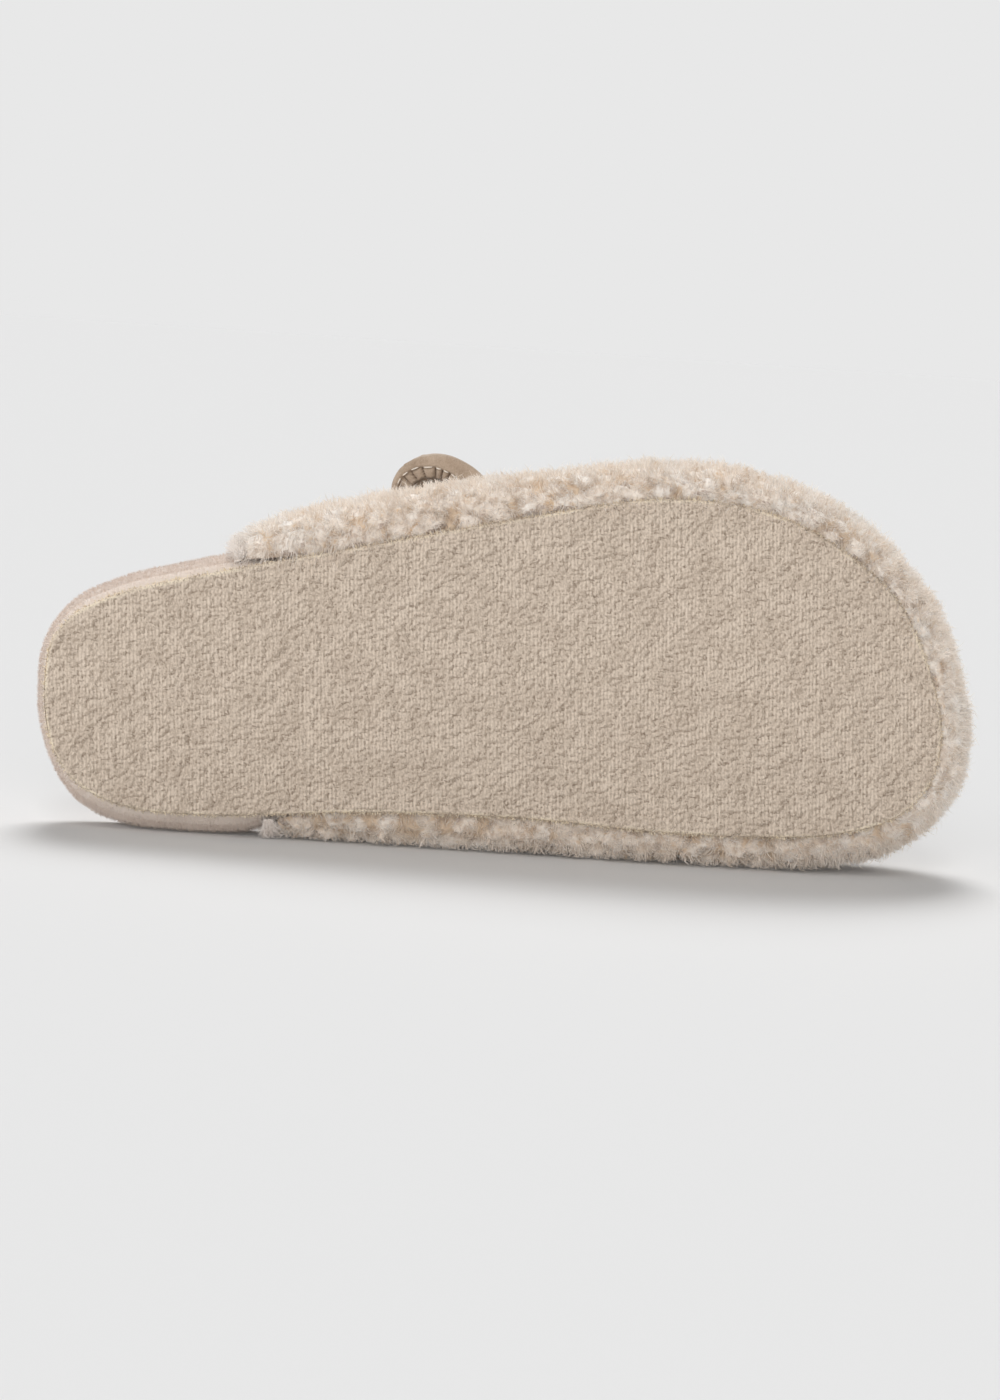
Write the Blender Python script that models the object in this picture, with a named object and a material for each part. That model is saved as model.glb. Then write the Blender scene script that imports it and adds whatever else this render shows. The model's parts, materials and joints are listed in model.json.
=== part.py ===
"""A right clog slipper with a sherpa upper, lying on its inner side with its sole facing out.

The slipper is worked out standing: X runs from heel to toe, Y to the inner side, Z up from the floor
side of the sole. One empty then lays it down.
"""

from collections import namedtuple
from math import cos, pi, radians, sin, sqrt

import bmesh
import bpy
import numpy as np
from mathutils import Matrix, Vector

# Driving sizes, in metres.
SOLE_LENGTH = 0.250
BALL_WIDTH = 0.0935
OUTSOLE_THICK = 0.003
HEEL_JOIN = 0.0110
FORE_JOIN = 0.0075
TOE_SPRING = 0.004
INSTEP_HEIGHT = 0.076
TOE_BOX_HEIGHT = 0.045
WIDEST_HEIGHT = 0.019
PILE_WALL = 0.0065
COLLAR_WALL = 0.0036
STRAP_WIDTH = 0.0280
STRAP_THICK = 0.0030
STRAP_FREE_LENGTH = 0.037
GAP = 0.0003

# Where the slipper's features lie along its length.
SPRING_START = 0.190
INNER_COLLAR_FOOT = 0.0637
OUTER_COLLAR_FOOT = 0.0565
THROAT = 0.112
TOE_POLE = 0.198
BAND_END = 0.052
BAND_GONE = 0.078
JOIN_DROP_START = 0.055
JOIN_DROP_END = 0.150

# How the slipper lies: turned until heel and ball touch the floor, then leaned on its upper.
LIE_TURN = radians(3.77)
LIE_LEAN = radians(3.0)
HEEL_REST = (0.040, 0.0402, 0.017)

# Sole edge by stations: shares of the sole's length, and of the ball width to either side.
EdgeRow = namedtuple("EdgeRow", "along outer inner")
SOLE_EDGE = (
    EdgeRow(along=0.008, outer=0.141, inner=0.166),
    EdgeRow(along=0.032, outer=0.222, inner=0.270),
    EdgeRow(along=0.084, outer=0.287, inner=0.344),
    EdgeRow(along=0.172, outer=0.340, inner=0.373),
    EdgeRow(along=0.352, outer=0.425, inner=0.366),
    EdgeRow(along=0.528, outer=0.508, inner=0.383),
    EdgeRow(along=0.688, outer=0.566, inner=0.426),
    EdgeRow(along=0.800, outer=0.530, inner=0.440),
    EdgeRow(along=0.888, outer=0.413, inner=0.430),
    EdgeRow(along=0.952, outer=0.253, inner=0.378),
    EdgeRow(along=0.988, outer=0.039, inner=0.278),
)
HEEL_TIP_ACROSS = 0.015
TOE_TIP_ACROSS = 0.134

# Sherpa by stations: how far the pile bulges past the sole's edge on either side.
BulgeRow = namedtuple("BulgeRow", "along outer inner")
PILE_BULGE = (
    BulgeRow(along=0.050, outer=0.0068, inner=0.0060),
    BulgeRow(along=0.070, outer=0.0112, inner=0.0088),
    BulgeRow(along=0.090, outer=0.0118, inner=0.0118),
    BulgeRow(along=0.125, outer=0.0111, inner=0.0126),
    BulgeRow(along=0.155, outer=0.0090, inner=0.0118),
    BulgeRow(along=0.185, outer=0.0087, inner=0.0110),
    BulgeRow(along=0.215, outer=0.0087, inner=0.0098),
    BulgeRow(along=0.250, outer=0.0083, inner=0.0083),
)

# Footbed by stations: height of its hollow and of its rims.
FootbedRow = namedtuple("FootbedRow", "along hollow outer inner")
FOOTBED = (
    FootbedRow(along=0.000, hollow=0.0190, outer=0.0225, inner=0.0225),
    FootbedRow(along=0.040, hollow=0.0160, outer=0.0225, inner=0.0230),
    FootbedRow(along=0.090, hollow=0.0165, outer=0.0200, inner=0.0245),
    FootbedRow(along=0.140, hollow=0.0140, outer=0.0155, inner=0.0175),
    FootbedRow(along=0.185, hollow=0.0120, outer=0.0128, inner=0.0130),
    FootbedRow(along=0.250, hollow=0.0115, outer=0.0125, inner=0.0125),
)

RIM_POWER = 2.5

# Side of the sole's core: a flare past the outsole at the heel, tucked in under the upper.
SideRow = namedtuple("SideRow", "rise heel fore")
MIDSOLE_SIDE = (
    SideRow(rise=0.00, heel=0.0002, fore=-0.0034),
    SideRow(rise=0.12, heel=0.0012, fore=-0.0028),
    SideRow(rise=0.50, heel=0.0028, fore=-0.0016),
    SideRow(rise=0.88, heel=0.0037, fore=-0.0008),
    SideRow(rise=1.00, heel=0.0030, fore=-0.0014),
)
INSOLE_SIDE = (
    SideRow(rise=0.00, heel=0.0028, fore=-0.0014),
    SideRow(rise=0.10, heel=0.0037, fore=-0.0006),
    SideRow(rise=0.35, heel=0.0041, fore=0.0000),
    SideRow(rise=0.65, heel=0.0041, fore=0.0000),
    SideRow(rise=0.86, heel=0.0034, fore=-0.0002),
    SideRow(rise=1.00, heel=0.0016, fore=-0.0014),
)
OUTSOLE_SIDE = (
    SideRow(rise=0.00, heel=-0.0006, fore=-0.0006),
    SideRow(rise=0.20, heel=0.0000, fore=0.0000),
    SideRow(rise=0.85, heel=0.0000, fore=0.0000),
    SideRow(rise=1.00, heel=-0.0004, fore=-0.0004),
)

INNER_FLARE = 1.46
INNER_FLARE_START = 0.30
INNER_FLARE_FULL = 0.95

# The upper's shape across: rounder than an ellipse at its side, flatter over the top.
SIDE_POWER = 2.4
TOP_POWER = 2.2
SHELL_FOOT_REACH = 0.0016
SHELL_FOOT_WALL = 0.0042
TUCK_SHARE = 0.25
POLE_SHARE = 0.72
COLLAR_FADE = 0.10
COLLAR_SWEEP = 1.3
SLANT_FADE = 0.5
RIDGE_ACROSS_THROAT = 0.003
RIDGE_ACROSS_TOE = -0.001
RIDGE_FALL = 1.6

BINDING_DEPTH = 0.0034
STRAP_RIDGE = 0.131
STRAP_INNER_END = -0.40
STRAP_LIFT = 0.30
STRAP_REST_GAP = 0.0006
STRAP_TIP_RISE = radians(14.0)
STRAP_TIP_TURN = radians(9.0)
STRAP_BEND_SHARE = 0.6
STRAP_RIM = 0.0008
TIP_FLAT = 0.02

# How finely the pieces are faceted.
EDGE_SPAN_STEPS = 24
EDGE_WAY_STEP = 0.004
SOLE_STATIONS = 44
TIP_CROWDING = 0.4
SOLE_COLUMNS = 5
SHELL_STATIONS = 26
SHELL_ROWS = 16
STATION_STEP = 0.001
OVER_STEP = 0.005
BINDING_ARC = 5
STRAP_ROWS = 20
STRAP_FREE_ROWS = 12
STRAP_COLUMNS = 6
SMOOTH_ANGLE = radians(50)
TINY = 1e-4

Finish = namedtuple("Finish", "name color roughness")
KNIT = Finish(name="tan_knit", color=(0.50, 0.41, 0.33), roughness=0.95)
BRUSHED = Finish(name="pale_brushed", color=(0.69, 0.58, 0.52), roughness=0.90)
SHERPA = Finish(name="cream_sherpa", color=(0.68, 0.58, 0.49), roughness=1.0)
SUEDE = Finish(name="taupe_suede", color=(0.37, 0.28, 0.21), roughness=0.90)


def clear_scene():
    for item in list(bpy.data.objects):
        bpy.data.objects.remove(item, do_unlink=True)


def ease(low, high, value):
    """0 below low, 1 above high, with a smooth rise between."""
    share = min(max((value - low) / (high - low), 0.0), 1.0)
    return share * share * (3.0 - 2.0 * share)


def mix(first, second, share):
    return first + (second - first) * share


def column(rows, name, along):
    """The named column of a table of stations, read smoothly at this place along the sole."""
    places = [row.along for row in rows]
    values = [getattr(row, name) for row in rows]
    along = min(max(along, places[0]), places[-1])
    here = max(index for index, place in enumerate(places[:-1]) if place <= along)
    last = len(rows) - 1

    def slope(index):
        before, after = max(index - 1, 0), min(index + 1, last)
        return (values[after] - values[before]) / (places[after] - places[before])

    span = places[here + 1] - places[here]
    t = (along - places[here]) / span
    start = (1 + 2 * t) * (1 - t) ** 2 * values[here] + t * (1 - t) ** 2 * span * slope(here)
    end = t * t * (3 - 2 * t) * values[here + 1] + t * t * (t - 1) * span * slope(here + 1)
    return start + end


def spring(along):
    """How far the toe end rises off the floor."""
    ahead = max(along - SPRING_START, 0.0) / (SOLE_LENGTH - SPRING_START)
    return TOE_SPRING * ahead * ahead


# From standing to lying, and the way down to the floor in the standing slipper's axes.
LYING = Matrix.Rotation(-(pi / 2 + LIE_LEAN), 3, "X") @ Matrix.Rotation(-LIE_TURN, 3, "Z")
FLOOR_WAY = LYING.transposed() @ Vector((0, 0, -1))
FLOOR_REACH = FLOOR_WAY.dot(Vector(HEEL_REST))


def settled(point):
    """The point with the toe spring added, and pressed flat where the slipper lies on the floor."""
    point = Vector((point[0], point[1], point[2] + spring(point[0])))
    over = FLOOR_WAY.dot(point) - FLOOR_REACH
    return point - FLOOR_WAY * over if over > 0 else point


class SoleEdge:
    """The outsole's edge as a closed curve, from the heel along the inner side and back."""

    def __init__(self):
        inner = [(row.along * SOLE_LENGTH, row.inner * BALL_WIDTH) for row in SOLE_EDGE]
        outer = [(row.along * SOLE_LENGTH, -row.outer * BALL_WIDTH) for row in SOLE_EDGE]
        heel = (0.0, HEEL_TIP_ACROSS * BALL_WIDTH)
        toe = (SOLE_LENGTH, TOE_TIP_ACROSS * BALL_WIDTH)
        corners = np.array([heel, *inner, toe, *reversed(outer)])
        self.points = self.smooth(corners)
        steps = np.linalg.norm(np.diff(self.points, axis=0), axis=1)
        self.reach = np.concatenate([[0.0], np.cumsum(steps)]) / steps.sum()
        self.toe = self.reach[(len(inner) + 1) * EDGE_SPAN_STEPS]

    def smooth(self, corners):
        """A smooth closed curve through the corners, with its first point again at the end."""
        count = len(corners)
        curve = []
        for index in range(count):
            a, b, c, d = (corners[(index + shift) % count] for shift in (-1, 0, 1, 2))
            ab, bc, cd = (sqrt(np.linalg.norm(q - p)) for p, q in ((a, b), (b, c), (c, d)))
            leave = bc * ((b - a) / ab - (c - a) / (ab + bc) + (c - b) / bc)
            arrive = bc * ((c - b) / bc - (d - b) / (bc + cd) + (d - c) / cd)
            for step in range(EDGE_SPAN_STEPS):
                t = step / EDGE_SPAN_STEPS
                start = (1 + 2 * t) * (1 - t) ** 2 * b + t * (1 - t) ** 2 * leave
                curve.append(start + t * t * (3 - 2 * t) * c + t * t * (t - 1) * arrive)
        return np.array(curve + [curve[0]])

    def at(self, share):
        """The edge's place and outward way at a share of its whole run."""

        def spot(run):
            return Vector([np.interp(run % 1.0, self.reach, self.points[:, axis]) for axis in (0, 1)])

        way = (spot(share + EDGE_WAY_STEP) - spot(share - EDGE_WAY_STEP)).normalized()
        return spot(share), Vector((-way.y, way.x))

    def side_share(self, inner, share):
        """The edge's share at a share of the way from heel to toe along one side."""
        return share * self.toe if inner else 1.0 - share * (1.0 - self.toe)

    def foot_share(self, inner, along):
        """The share of the way from heel to toe where this side reaches the given length."""
        low, high = 0.0, 1.0
        while high - low > TINY:
            middle = (low + high) / 2
            place, _ = self.at(self.side_share(inner, middle))
            low, high = (middle, high) if place.x < along else (low, middle)
        return (low + high) / 2


EDGE = SoleEdge()


def band(along):
    """1 where the sole's core shows as the heel's band, 0 where the upper covers it."""
    return 1.0 - ease(BAND_END, BAND_GONE, along)


def join_height(along):
    """The height of the line where insole and midsole meet."""
    return mix(HEEL_JOIN, FORE_JOIN, ease(JOIN_DROP_START, JOIN_DROP_END, along))


def rim_height(along, inner):
    return column(FOOTBED, "inner" if inner else "outer", along)


def side_offset(row, along, way):
    """How far the core's side stands past the outsole: more at the heel, most on its inner side."""
    flare = mix(1.0, INNER_FLARE, ease(INNER_FLARE_START, INNER_FLARE_FULL, way.y))
    return mix(row.fore, row.heel * flare, band(along))


def new_piece(name, finish, mesh, parent):
    bmesh.ops.remove_doubles(mesh, verts=mesh.verts, dist=TINY / 10)
    bmesh.ops.recalc_face_normals(mesh, faces=mesh.faces)
    data = bpy.data.meshes.new(name)
    mesh.to_mesh(data)
    mesh.free()
    data.shade_smooth()
    data.set_sharp_from_angle(angle=SMOOTH_ANGLE)
    material = bpy.data.materials.get(finish.name) or bpy.data.materials.new(finish.name)
    material.use_nodes = True
    shader = material.node_tree.nodes["Principled BSDF"]
    shader.inputs["Base Color"].default_value = (*finish.color, 1.0)
    shader.inputs["Roughness"].default_value = finish.roughness
    data.materials.append(material)
    piece = bpy.data.objects.new(name, data)
    bpy.context.collection.objects.link(piece)
    piece.parent = parent
    return piece


def skin(mesh, rows, closed=False):
    """Faces between neighbouring rows of vertices of equal length."""
    for first, second in zip(rows[:-1], rows[1:]):
        count = len(first)
        for index in range(count if closed else count - 1):
            after = (index + 1) % count
            corners = [first[index], first[after], second[after], second[index]]
            corners = list(dict.fromkeys(corners))
            if len(corners) > 2:
                mesh.faces.new(corners)


def crowded(share):
    """An even share drawn towards the two ends, where the outline turns most."""
    return share - TIP_CROWDING * sin(2 * pi * share) / (2 * pi)


def slab(name, finish, parent, sides, bottom, top, dish):
    """A layer of the sole: rings up its side, closed by a grid below and above.

    bottom and top give the ring heights at a place along one side, dish the top at a share across.
    """
    mesh = bmesh.new()
    shares = [crowded(index / SOLE_STATIONS) for index in range(SOLE_STATIONS + 1)]
    walk = [(True, share) for share in shares] + [(False, share) for share in shares[-2:0:-1]]
    rings = []
    for row in sides:
        ring = []
        for inner, share in walk:
            place, way = EDGE.at(EDGE.side_share(inner, share))
            place = place + way * side_offset(row, place.x, way)
            height = mix(bottom(place.x, inner), top(place.x, inner), row.rise)
            ring.append(mesh.verts.new(settled((place.x, place.y, height))))
        rings.append(ring)
    skin(mesh, rings, closed=True)
    for ring, shape in ((rings[0], None), (rings[-1], dish)):
        rows = []
        for index in range(1, SOLE_STATIONS):
            inner, outer = ring[index], ring[-index]
            row = [inner]
            for step in range(1, SOLE_COLUMNS + 1):
                share = step / (SOLE_COLUMNS + 1)
                point = inner.co.lerp(outer.co, share)
                if shape:
                    point.z = shape(point.x, share) + spring(point.x)
                row.append(mesh.verts.new(point))
            rows.append(row + [outer])
        skin(mesh, rows)
        for tip, row in ((ring[0], rows[0]), (ring[SOLE_STATIONS], rows[-1])):
            for first, second in zip(row[:-1], row[1:]):
                mesh.faces.new((tip, first, second))
    return new_piece(name, finish, mesh, parent)


def build_outsole(parent):
    """The knit-faced sheet that meets the floor, flat from heel to ball."""
    return slab(
        "outsole",
        KNIT,
        parent,
        OUTSOLE_SIDE,
        bottom=lambda along, inner: 0.0,
        top=lambda along, inner: OUTSOLE_THICK,
        dish=None,
    )


def build_midsole(parent):
    """The wrapped foam core, the lower strip of the heel's band."""
    return slab(
        "midsole",
        BRUSHED,
        parent,
        MIDSOLE_SIDE,
        bottom=lambda along, inner: OUTSOLE_THICK + GAP,
        top=lambda along, inner: join_height(along),
        dish=None,
    )


def build_insole(parent):
    """The wrapped footbed with its heel cup and arch, the rolled upper strip of the band."""

    def dish(along, share):
        inner, outer = rim_height(along, True), rim_height(along, False)
        hollow = column(FOOTBED, "hollow", along)
        away = abs(2.0 * share - 1.0) ** RIM_POWER
        return mix(hollow, mix(inner, outer, share), away)

    return slab(
        "insole",
        BRUSHED,
        parent,
        INSOLE_SIDE,
        bottom=lambda along, inner: join_height(along) + GAP,
        top=rim_height,
        dish=dish,
    )


class Shell:
    """The upper as two surfaces, each a fan of ribs from the sole's edge to the ridge over the foot."""

    def __init__(self):
        self.feet = {
            True: EDGE.foot_share(True, INNER_COLLAR_FOOT),
            False: EDGE.foot_share(False, OUTER_COLLAR_FOOT),
        }

    def ridge(self, station, lower):
        """The top of the rib at a station, 0 at the collar and 1 at the toe tip."""
        share = min(station / POLE_SHARE, 1.0)
        height = mix(TOE_BOX_HEIGHT, INSTEP_HEIGHT, (1.0 - share) ** RIDGE_FALL)
        across = mix(RIDGE_ACROSS_THROAT, RIDGE_ACROSS_TOE, share)
        return Vector((mix(THROAT, TOE_POLE, share), across, height - lower))

    def point(self, station, over, inside):
        """A point of the outer or inner surface, over it from -1 (inner foot) to 1 (outer foot)."""
        inner = over < 0
        rise = 1.0 - abs(over)
        share = mix(self.feet[inner], 1.0, station)
        place, way = EDGE.at(EDGE.side_share(inner, share))
        bulge = column(PILE_BULGE, "inner" if inner else "outer", place.x)
        wall = mix(COLLAR_WALL, PILE_WALL, ease(0.0, COLLAR_FADE, station)) if inside else 0.0
        foot = OUTSOLE_THICK + GAP
        reach = SHELL_FOOT_REACH
        if inside:
            behind = place.x - BINDING_DEPTH
            core = max(side_offset(row, behind, way) for row in INSOLE_SIDE) + 2 * GAP
            reach = max(reach - SHELL_FOOT_WALL, side_offset(MIDSOLE_SIDE[1], behind, way) + 2 * GAP)
            bulge = max(bulge - wall, core)
        if rise < TUCK_SHARE:
            turn = pi / 2 * rise / TUCK_SHARE
            flat = place + way * mix(reach, bulge, sin(turn))
            height = mix(WIDEST_HEIGHT, foot, cos(turn))
            return settled((flat.x, flat.y, height))
        turn = pi / 2 * (rise - TUCK_SHARE) / (1.0 - TUCK_SHARE)
        drawn = 1.0 - max(cos(turn), 0.0) ** (2 / SIDE_POWER)
        climb = sin(turn) ** (2 / TOP_POWER)
        top = self.ridge(station, wall)
        side = place + way * bulge
        swept = mix(climb**COLLAR_SWEEP, drawn, ease(0.0, SLANT_FADE, station))
        along = mix(side.x, top.x, swept)
        across = mix(side.y, top.y, drawn)
        return settled((along, across, mix(WIDEST_HEIGHT, top.z, climb)))

    def frame(self, station, over):
        """A point of the outer surface, its ways forward and over, and its pace along the stations."""
        here = self.point(station, over, False)
        low, high = max(station - STATION_STEP, 0.0), station + STATION_STEP
        forward = self.point(high, over, False) - self.point(low, over, False)
        across = self.point(station, over + OVER_STEP, False) - self.point(station, over - OVER_STEP, False)
        return here, forward.normalized(), across.normalized(), forward.length / (high - low)

    def out(self, station, over):
        """The outward way of the surface."""
        _, forward, across, _ = self.frame(station, over)
        return across.cross(forward).normalized()


SHELL = Shell()


def overs():
    """Places over the shell from its inner foot to its outer foot."""
    half = [1.0 - row / SHELL_ROWS for row in range(SHELL_ROWS)]
    return [-over for over in half] + [0.0] + half[::-1]


def build_upper(parent):
    """The hollow sherpa shell, open at the heel and underneath."""
    mesh = bmesh.new()
    skins = []
    for inside in (False, True):
        rows = []
        pole = mesh.verts.new(SHELL.point(1.0, 0.0, inside))
        for index in range(SHELL_STATIONS + 1):
            station = index / SHELL_STATIONS
            row = [mesh.verts.new(SHELL.point(station, over, inside)) for over in overs()]
            if station >= POLE_SHARE:
                mesh.verts.remove(row[SHELL_ROWS])
                row[SHELL_ROWS] = pole
            rows.append(row)
        for over in range(SHELL_ROWS):
            mesh.verts.remove(rows[-1][-1 - over])
            rows[-1][-1 - over] = rows[-1][over]
        skin(mesh, rows)
        skins.append(rows)
    outer, inner = skins
    skin(mesh, [outer[0], inner[0]])
    for end in (0, -1):
        skin(mesh, [[row[end] for row in outer], [row[end] for row in inner]])
    return new_piece("upper", SHERPA, mesh, parent)


def build_binding(parent):
    """The smooth rolled edge along the upper's rear opening."""
    mesh = bmesh.new()
    rings = []
    for over in overs():
        outer, inner = (SHELL.point(0.0, over, inside) for inside in (False, True))
        _, forward, _, _ = SHELL.frame(0.0, over)
        middle, half = (outer + inner) / 2, (outer - inner) / 2
        ring = []
        for step in range(BINDING_ARC + 1):
            turn = pi * step / BINDING_ARC
            bow = GAP + BINDING_DEPTH * sin(turn)
            ring.append(mesh.verts.new(middle + half * cos(turn) - forward * bow))
        rings.append(ring)
    skin(mesh, rings, closed=True)
    mesh.faces.new(rings[0])
    mesh.faces.new(rings[-1])
    return new_piece("collar_binding", BRUSHED, mesh, parent)


def build_strap(parent):
    """The suede strap over the instep, standing off the pile at its rounded outer end."""
    mesh = bmesh.new()
    half = STRAP_WIDTH / 2
    station = POLE_SHARE * (STRAP_RIDGE - THROAT) / (TOE_POLE - THROAT)
    rests = [mix(STRAP_INNER_END, STRAP_LIFT, row / STRAP_ROWS) for row in range(STRAP_ROWS + 1)]
    middles = [SHELL.point(station, over, False) for over in rests]
    runs = [0.0]
    for first, second in zip(middles[:-1], middles[1:]):
        runs.append(runs[-1] + (second - first).length)
    whole = runs[-1] + STRAP_FREE_LENGTH

    def width(run):
        """Half of the strap's width, rounded off at both ends."""
        near = min(run, whole - run)
        return half if near > half else sqrt(max(half**2 - (half - near) ** 2, TINY**2))

    def section(points, out, spread):
        """Corner points of one section: under side, rim, upper side, rim."""
        under = [point + out * STRAP_REST_GAP for point in points]
        above = [point + out * (STRAP_REST_GAP + STRAP_THICK) for point in points]
        rims = [(low + high) / 2 for low, high in ((under[0], above[0]), (under[-1], above[-1]))]
        rims = [rims[0] - spread * STRAP_RIM, rims[1] + spread * STRAP_RIM]
        ring = [rims[0], *under, rims[1], *reversed(above)]
        return [mesh.verts.new(point) for point in ring]

    rings = []
    shares = [2.0 * step / STRAP_COLUMNS - 1.0 for step in range(STRAP_COLUMNS + 1)]
    for over, run in zip(rests, runs):
        _, forward, _, pace = SHELL.frame(station, over)
        reach = width(max(run, half * TIP_FLAT))
        points = [SHELL.point(station + share * reach / pace, over, False) for share in shares]
        rings.append(section(points, SHELL.out(station, over), forward))
    here, forward, across, _ = SHELL.frame(station, STRAP_LIFT)
    out = SHELL.out(station, STRAP_LIFT)
    across = (across - forward * across.dot(forward)).normalized()
    reached = 0.0
    for row in range(1, STRAP_FREE_ROWS + 1):
        share = sin(pi / 2 * row / STRAP_FREE_ROWS)
        step = STRAP_FREE_LENGTH * share - reached
        reached += step
        lift = STRAP_TIP_RISE * ease(0.0, STRAP_BEND_SHARE, share)
        swing = STRAP_TIP_TURN * ease(0.0, STRAP_BEND_SHARE, share)
        ahead = across * cos(swing) - forward * sin(swing)
        aside = forward * cos(swing) + across * sin(swing)
        here = here + (ahead * cos(lift) + out * sin(lift)) * step
        tilt = out * cos(lift) - ahead * sin(lift)
        reach = width(min(runs[-1] + reached, whole - half * TIP_FLAT))
        points = [here + aside * (value * reach) for value in shares]
        rings.append(section(points, tilt, aside))
    skin(mesh, rings, closed=True)
    mesh.faces.new(rings[0])
    mesh.faces.new(rings[-1])
    return new_piece("strap", SUEDE, mesh, parent)


def lay_down(holder, pieces):
    """Turns and leans the slipper onto its inner side, with its box centred over the origin."""
    points = [LYING @ vertex.co for piece in pieces for vertex in piece.data.vertices]
    lows, highs = ([pick(point[axis] for point in points) for axis in range(3)] for pick in (min, max))
    holder.rotation_euler = LYING.to_euler()
    holder.location = (-(lows[0] + highs[0]) / 2, -(lows[1] + highs[1]) / 2, -lows[2])


def main():
    clear_scene()
    holder = bpy.data.objects.new("lying_slipper", None)
    bpy.context.collection.objects.link(holder)
    makers = (build_outsole, build_midsole, build_insole, build_upper, build_binding, build_strap)
    pieces = [make(holder) for make in makers]
    lay_down(holder, pieces)


main()
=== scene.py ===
"""Looks of a right clog slipper that lies on its inner side with its knit sole turned to the viewer.

Each sub-assembly is a class that holds its sizes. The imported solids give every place. The slipper's own
axes run from heel to toe (X), to the inner side (Y) and up from the sole (Z), in metres.
"""

import json
import logging
from dataclasses import dataclass, field
from enum import Enum
from math import pi, radians, tau

import bmesh
import bpy
import numpy as np
from mathutils import Euler, Matrix, Vector, noise
from mathutils.bvhtree import BVHTree
from mathutils.kdtree import KDTree

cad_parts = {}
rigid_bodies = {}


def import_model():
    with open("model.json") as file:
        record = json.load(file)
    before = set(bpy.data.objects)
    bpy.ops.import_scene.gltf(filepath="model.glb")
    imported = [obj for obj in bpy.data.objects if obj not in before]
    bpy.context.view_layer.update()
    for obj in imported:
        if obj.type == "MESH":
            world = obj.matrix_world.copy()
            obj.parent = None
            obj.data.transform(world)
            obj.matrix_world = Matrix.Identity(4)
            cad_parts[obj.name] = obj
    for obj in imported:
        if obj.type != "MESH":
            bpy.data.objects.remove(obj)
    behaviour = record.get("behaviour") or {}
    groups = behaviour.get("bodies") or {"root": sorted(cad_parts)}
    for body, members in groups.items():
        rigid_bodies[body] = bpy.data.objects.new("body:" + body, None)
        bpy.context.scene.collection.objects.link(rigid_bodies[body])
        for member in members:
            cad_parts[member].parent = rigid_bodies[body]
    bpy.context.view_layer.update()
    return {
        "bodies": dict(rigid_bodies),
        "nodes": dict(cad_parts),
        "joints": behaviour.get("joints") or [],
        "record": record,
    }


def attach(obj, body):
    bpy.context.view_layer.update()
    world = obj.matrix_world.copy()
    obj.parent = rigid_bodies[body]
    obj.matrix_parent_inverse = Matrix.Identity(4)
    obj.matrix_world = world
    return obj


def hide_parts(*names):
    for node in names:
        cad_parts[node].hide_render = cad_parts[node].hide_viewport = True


LOG = logging.getLogger("clog_slipper")
BODY = "root"
BAKE_MAP = "OFBake"
SOLE_LENGTH = 0.250
CELL_MARGIN = 0.15
MERGE_REACH = 1e-6
QUAD_FACE_DEG = 40.0
QUAD_SHAPE_DEG = 70.0
SHORTEST = 1e-12
DISPLAY_OFFSET = 0.055
DISPLAY_POWER = 2.4
Array = np.ndarray
Span = tuple[float, float]
Triple = tuple[float, float, float]
Colour = Triple


class Slot(Enum):
    """The record's material slots."""

    KNIT = "tan_knit"
    BRUSHED = "pale_brushed"
    LINING = "pale_lining"
    SHERPA = "cream_sherpa"
    EDGE = "pale_edge"
    SUEDE = "taupe_suede"


class Axis(Enum):
    """The parts of a place."""

    X = "X"
    Y = "Y"
    Z = "Z"


class MathWay(Enum):
    """Ways in which a Math node joins its values."""

    ADD = "ADD"
    SUBTRACT = "SUBTRACT"
    MULTIPLY = "MULTIPLY"
    SINE = "SINE"
    SIZE = "ABSOLUTE"


def tone(red: int, green: int, blue: int) -> Colour:
    """Turns display values of 0 to 255 into the linear colour that a shader takes.

    Args:
        red: display value of red.
        green: display value of green.
        blue: display value of blue.

    Returns:
        The three linear values.
    """
    shares = [value / 255 for value in (red, green, blue)]
    whole = 1.0 + DISPLAY_OFFSET
    return tuple(((share + DISPLAY_OFFSET) / whole) ** DISPLAY_POWER for share in shares)


def ease(low: float, high: float, values: Array) -> Array:
    """A smooth step at each value, from 0 at the low one to 1 at the high one."""
    share = np.clip((values - low) / (high - low), 0.0, 1.0)
    return share * share * (3.0 - 2.0 * share)


def ripple(points: Array, size: float, shift: float) -> Array:
    """Noise of about -1 to 1 at points, with swells of a size. Another shift gives another noise."""
    places = (points / size + shift).tolist()
    return np.array([noise.noise(place) for place in places])


def unit(vectors: Array) -> Array:
    """Vectors of length 1 along the last axis."""
    return vectors / np.maximum(np.linalg.norm(vectors, axis=-1, keepdims=True), SHORTEST)


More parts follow.
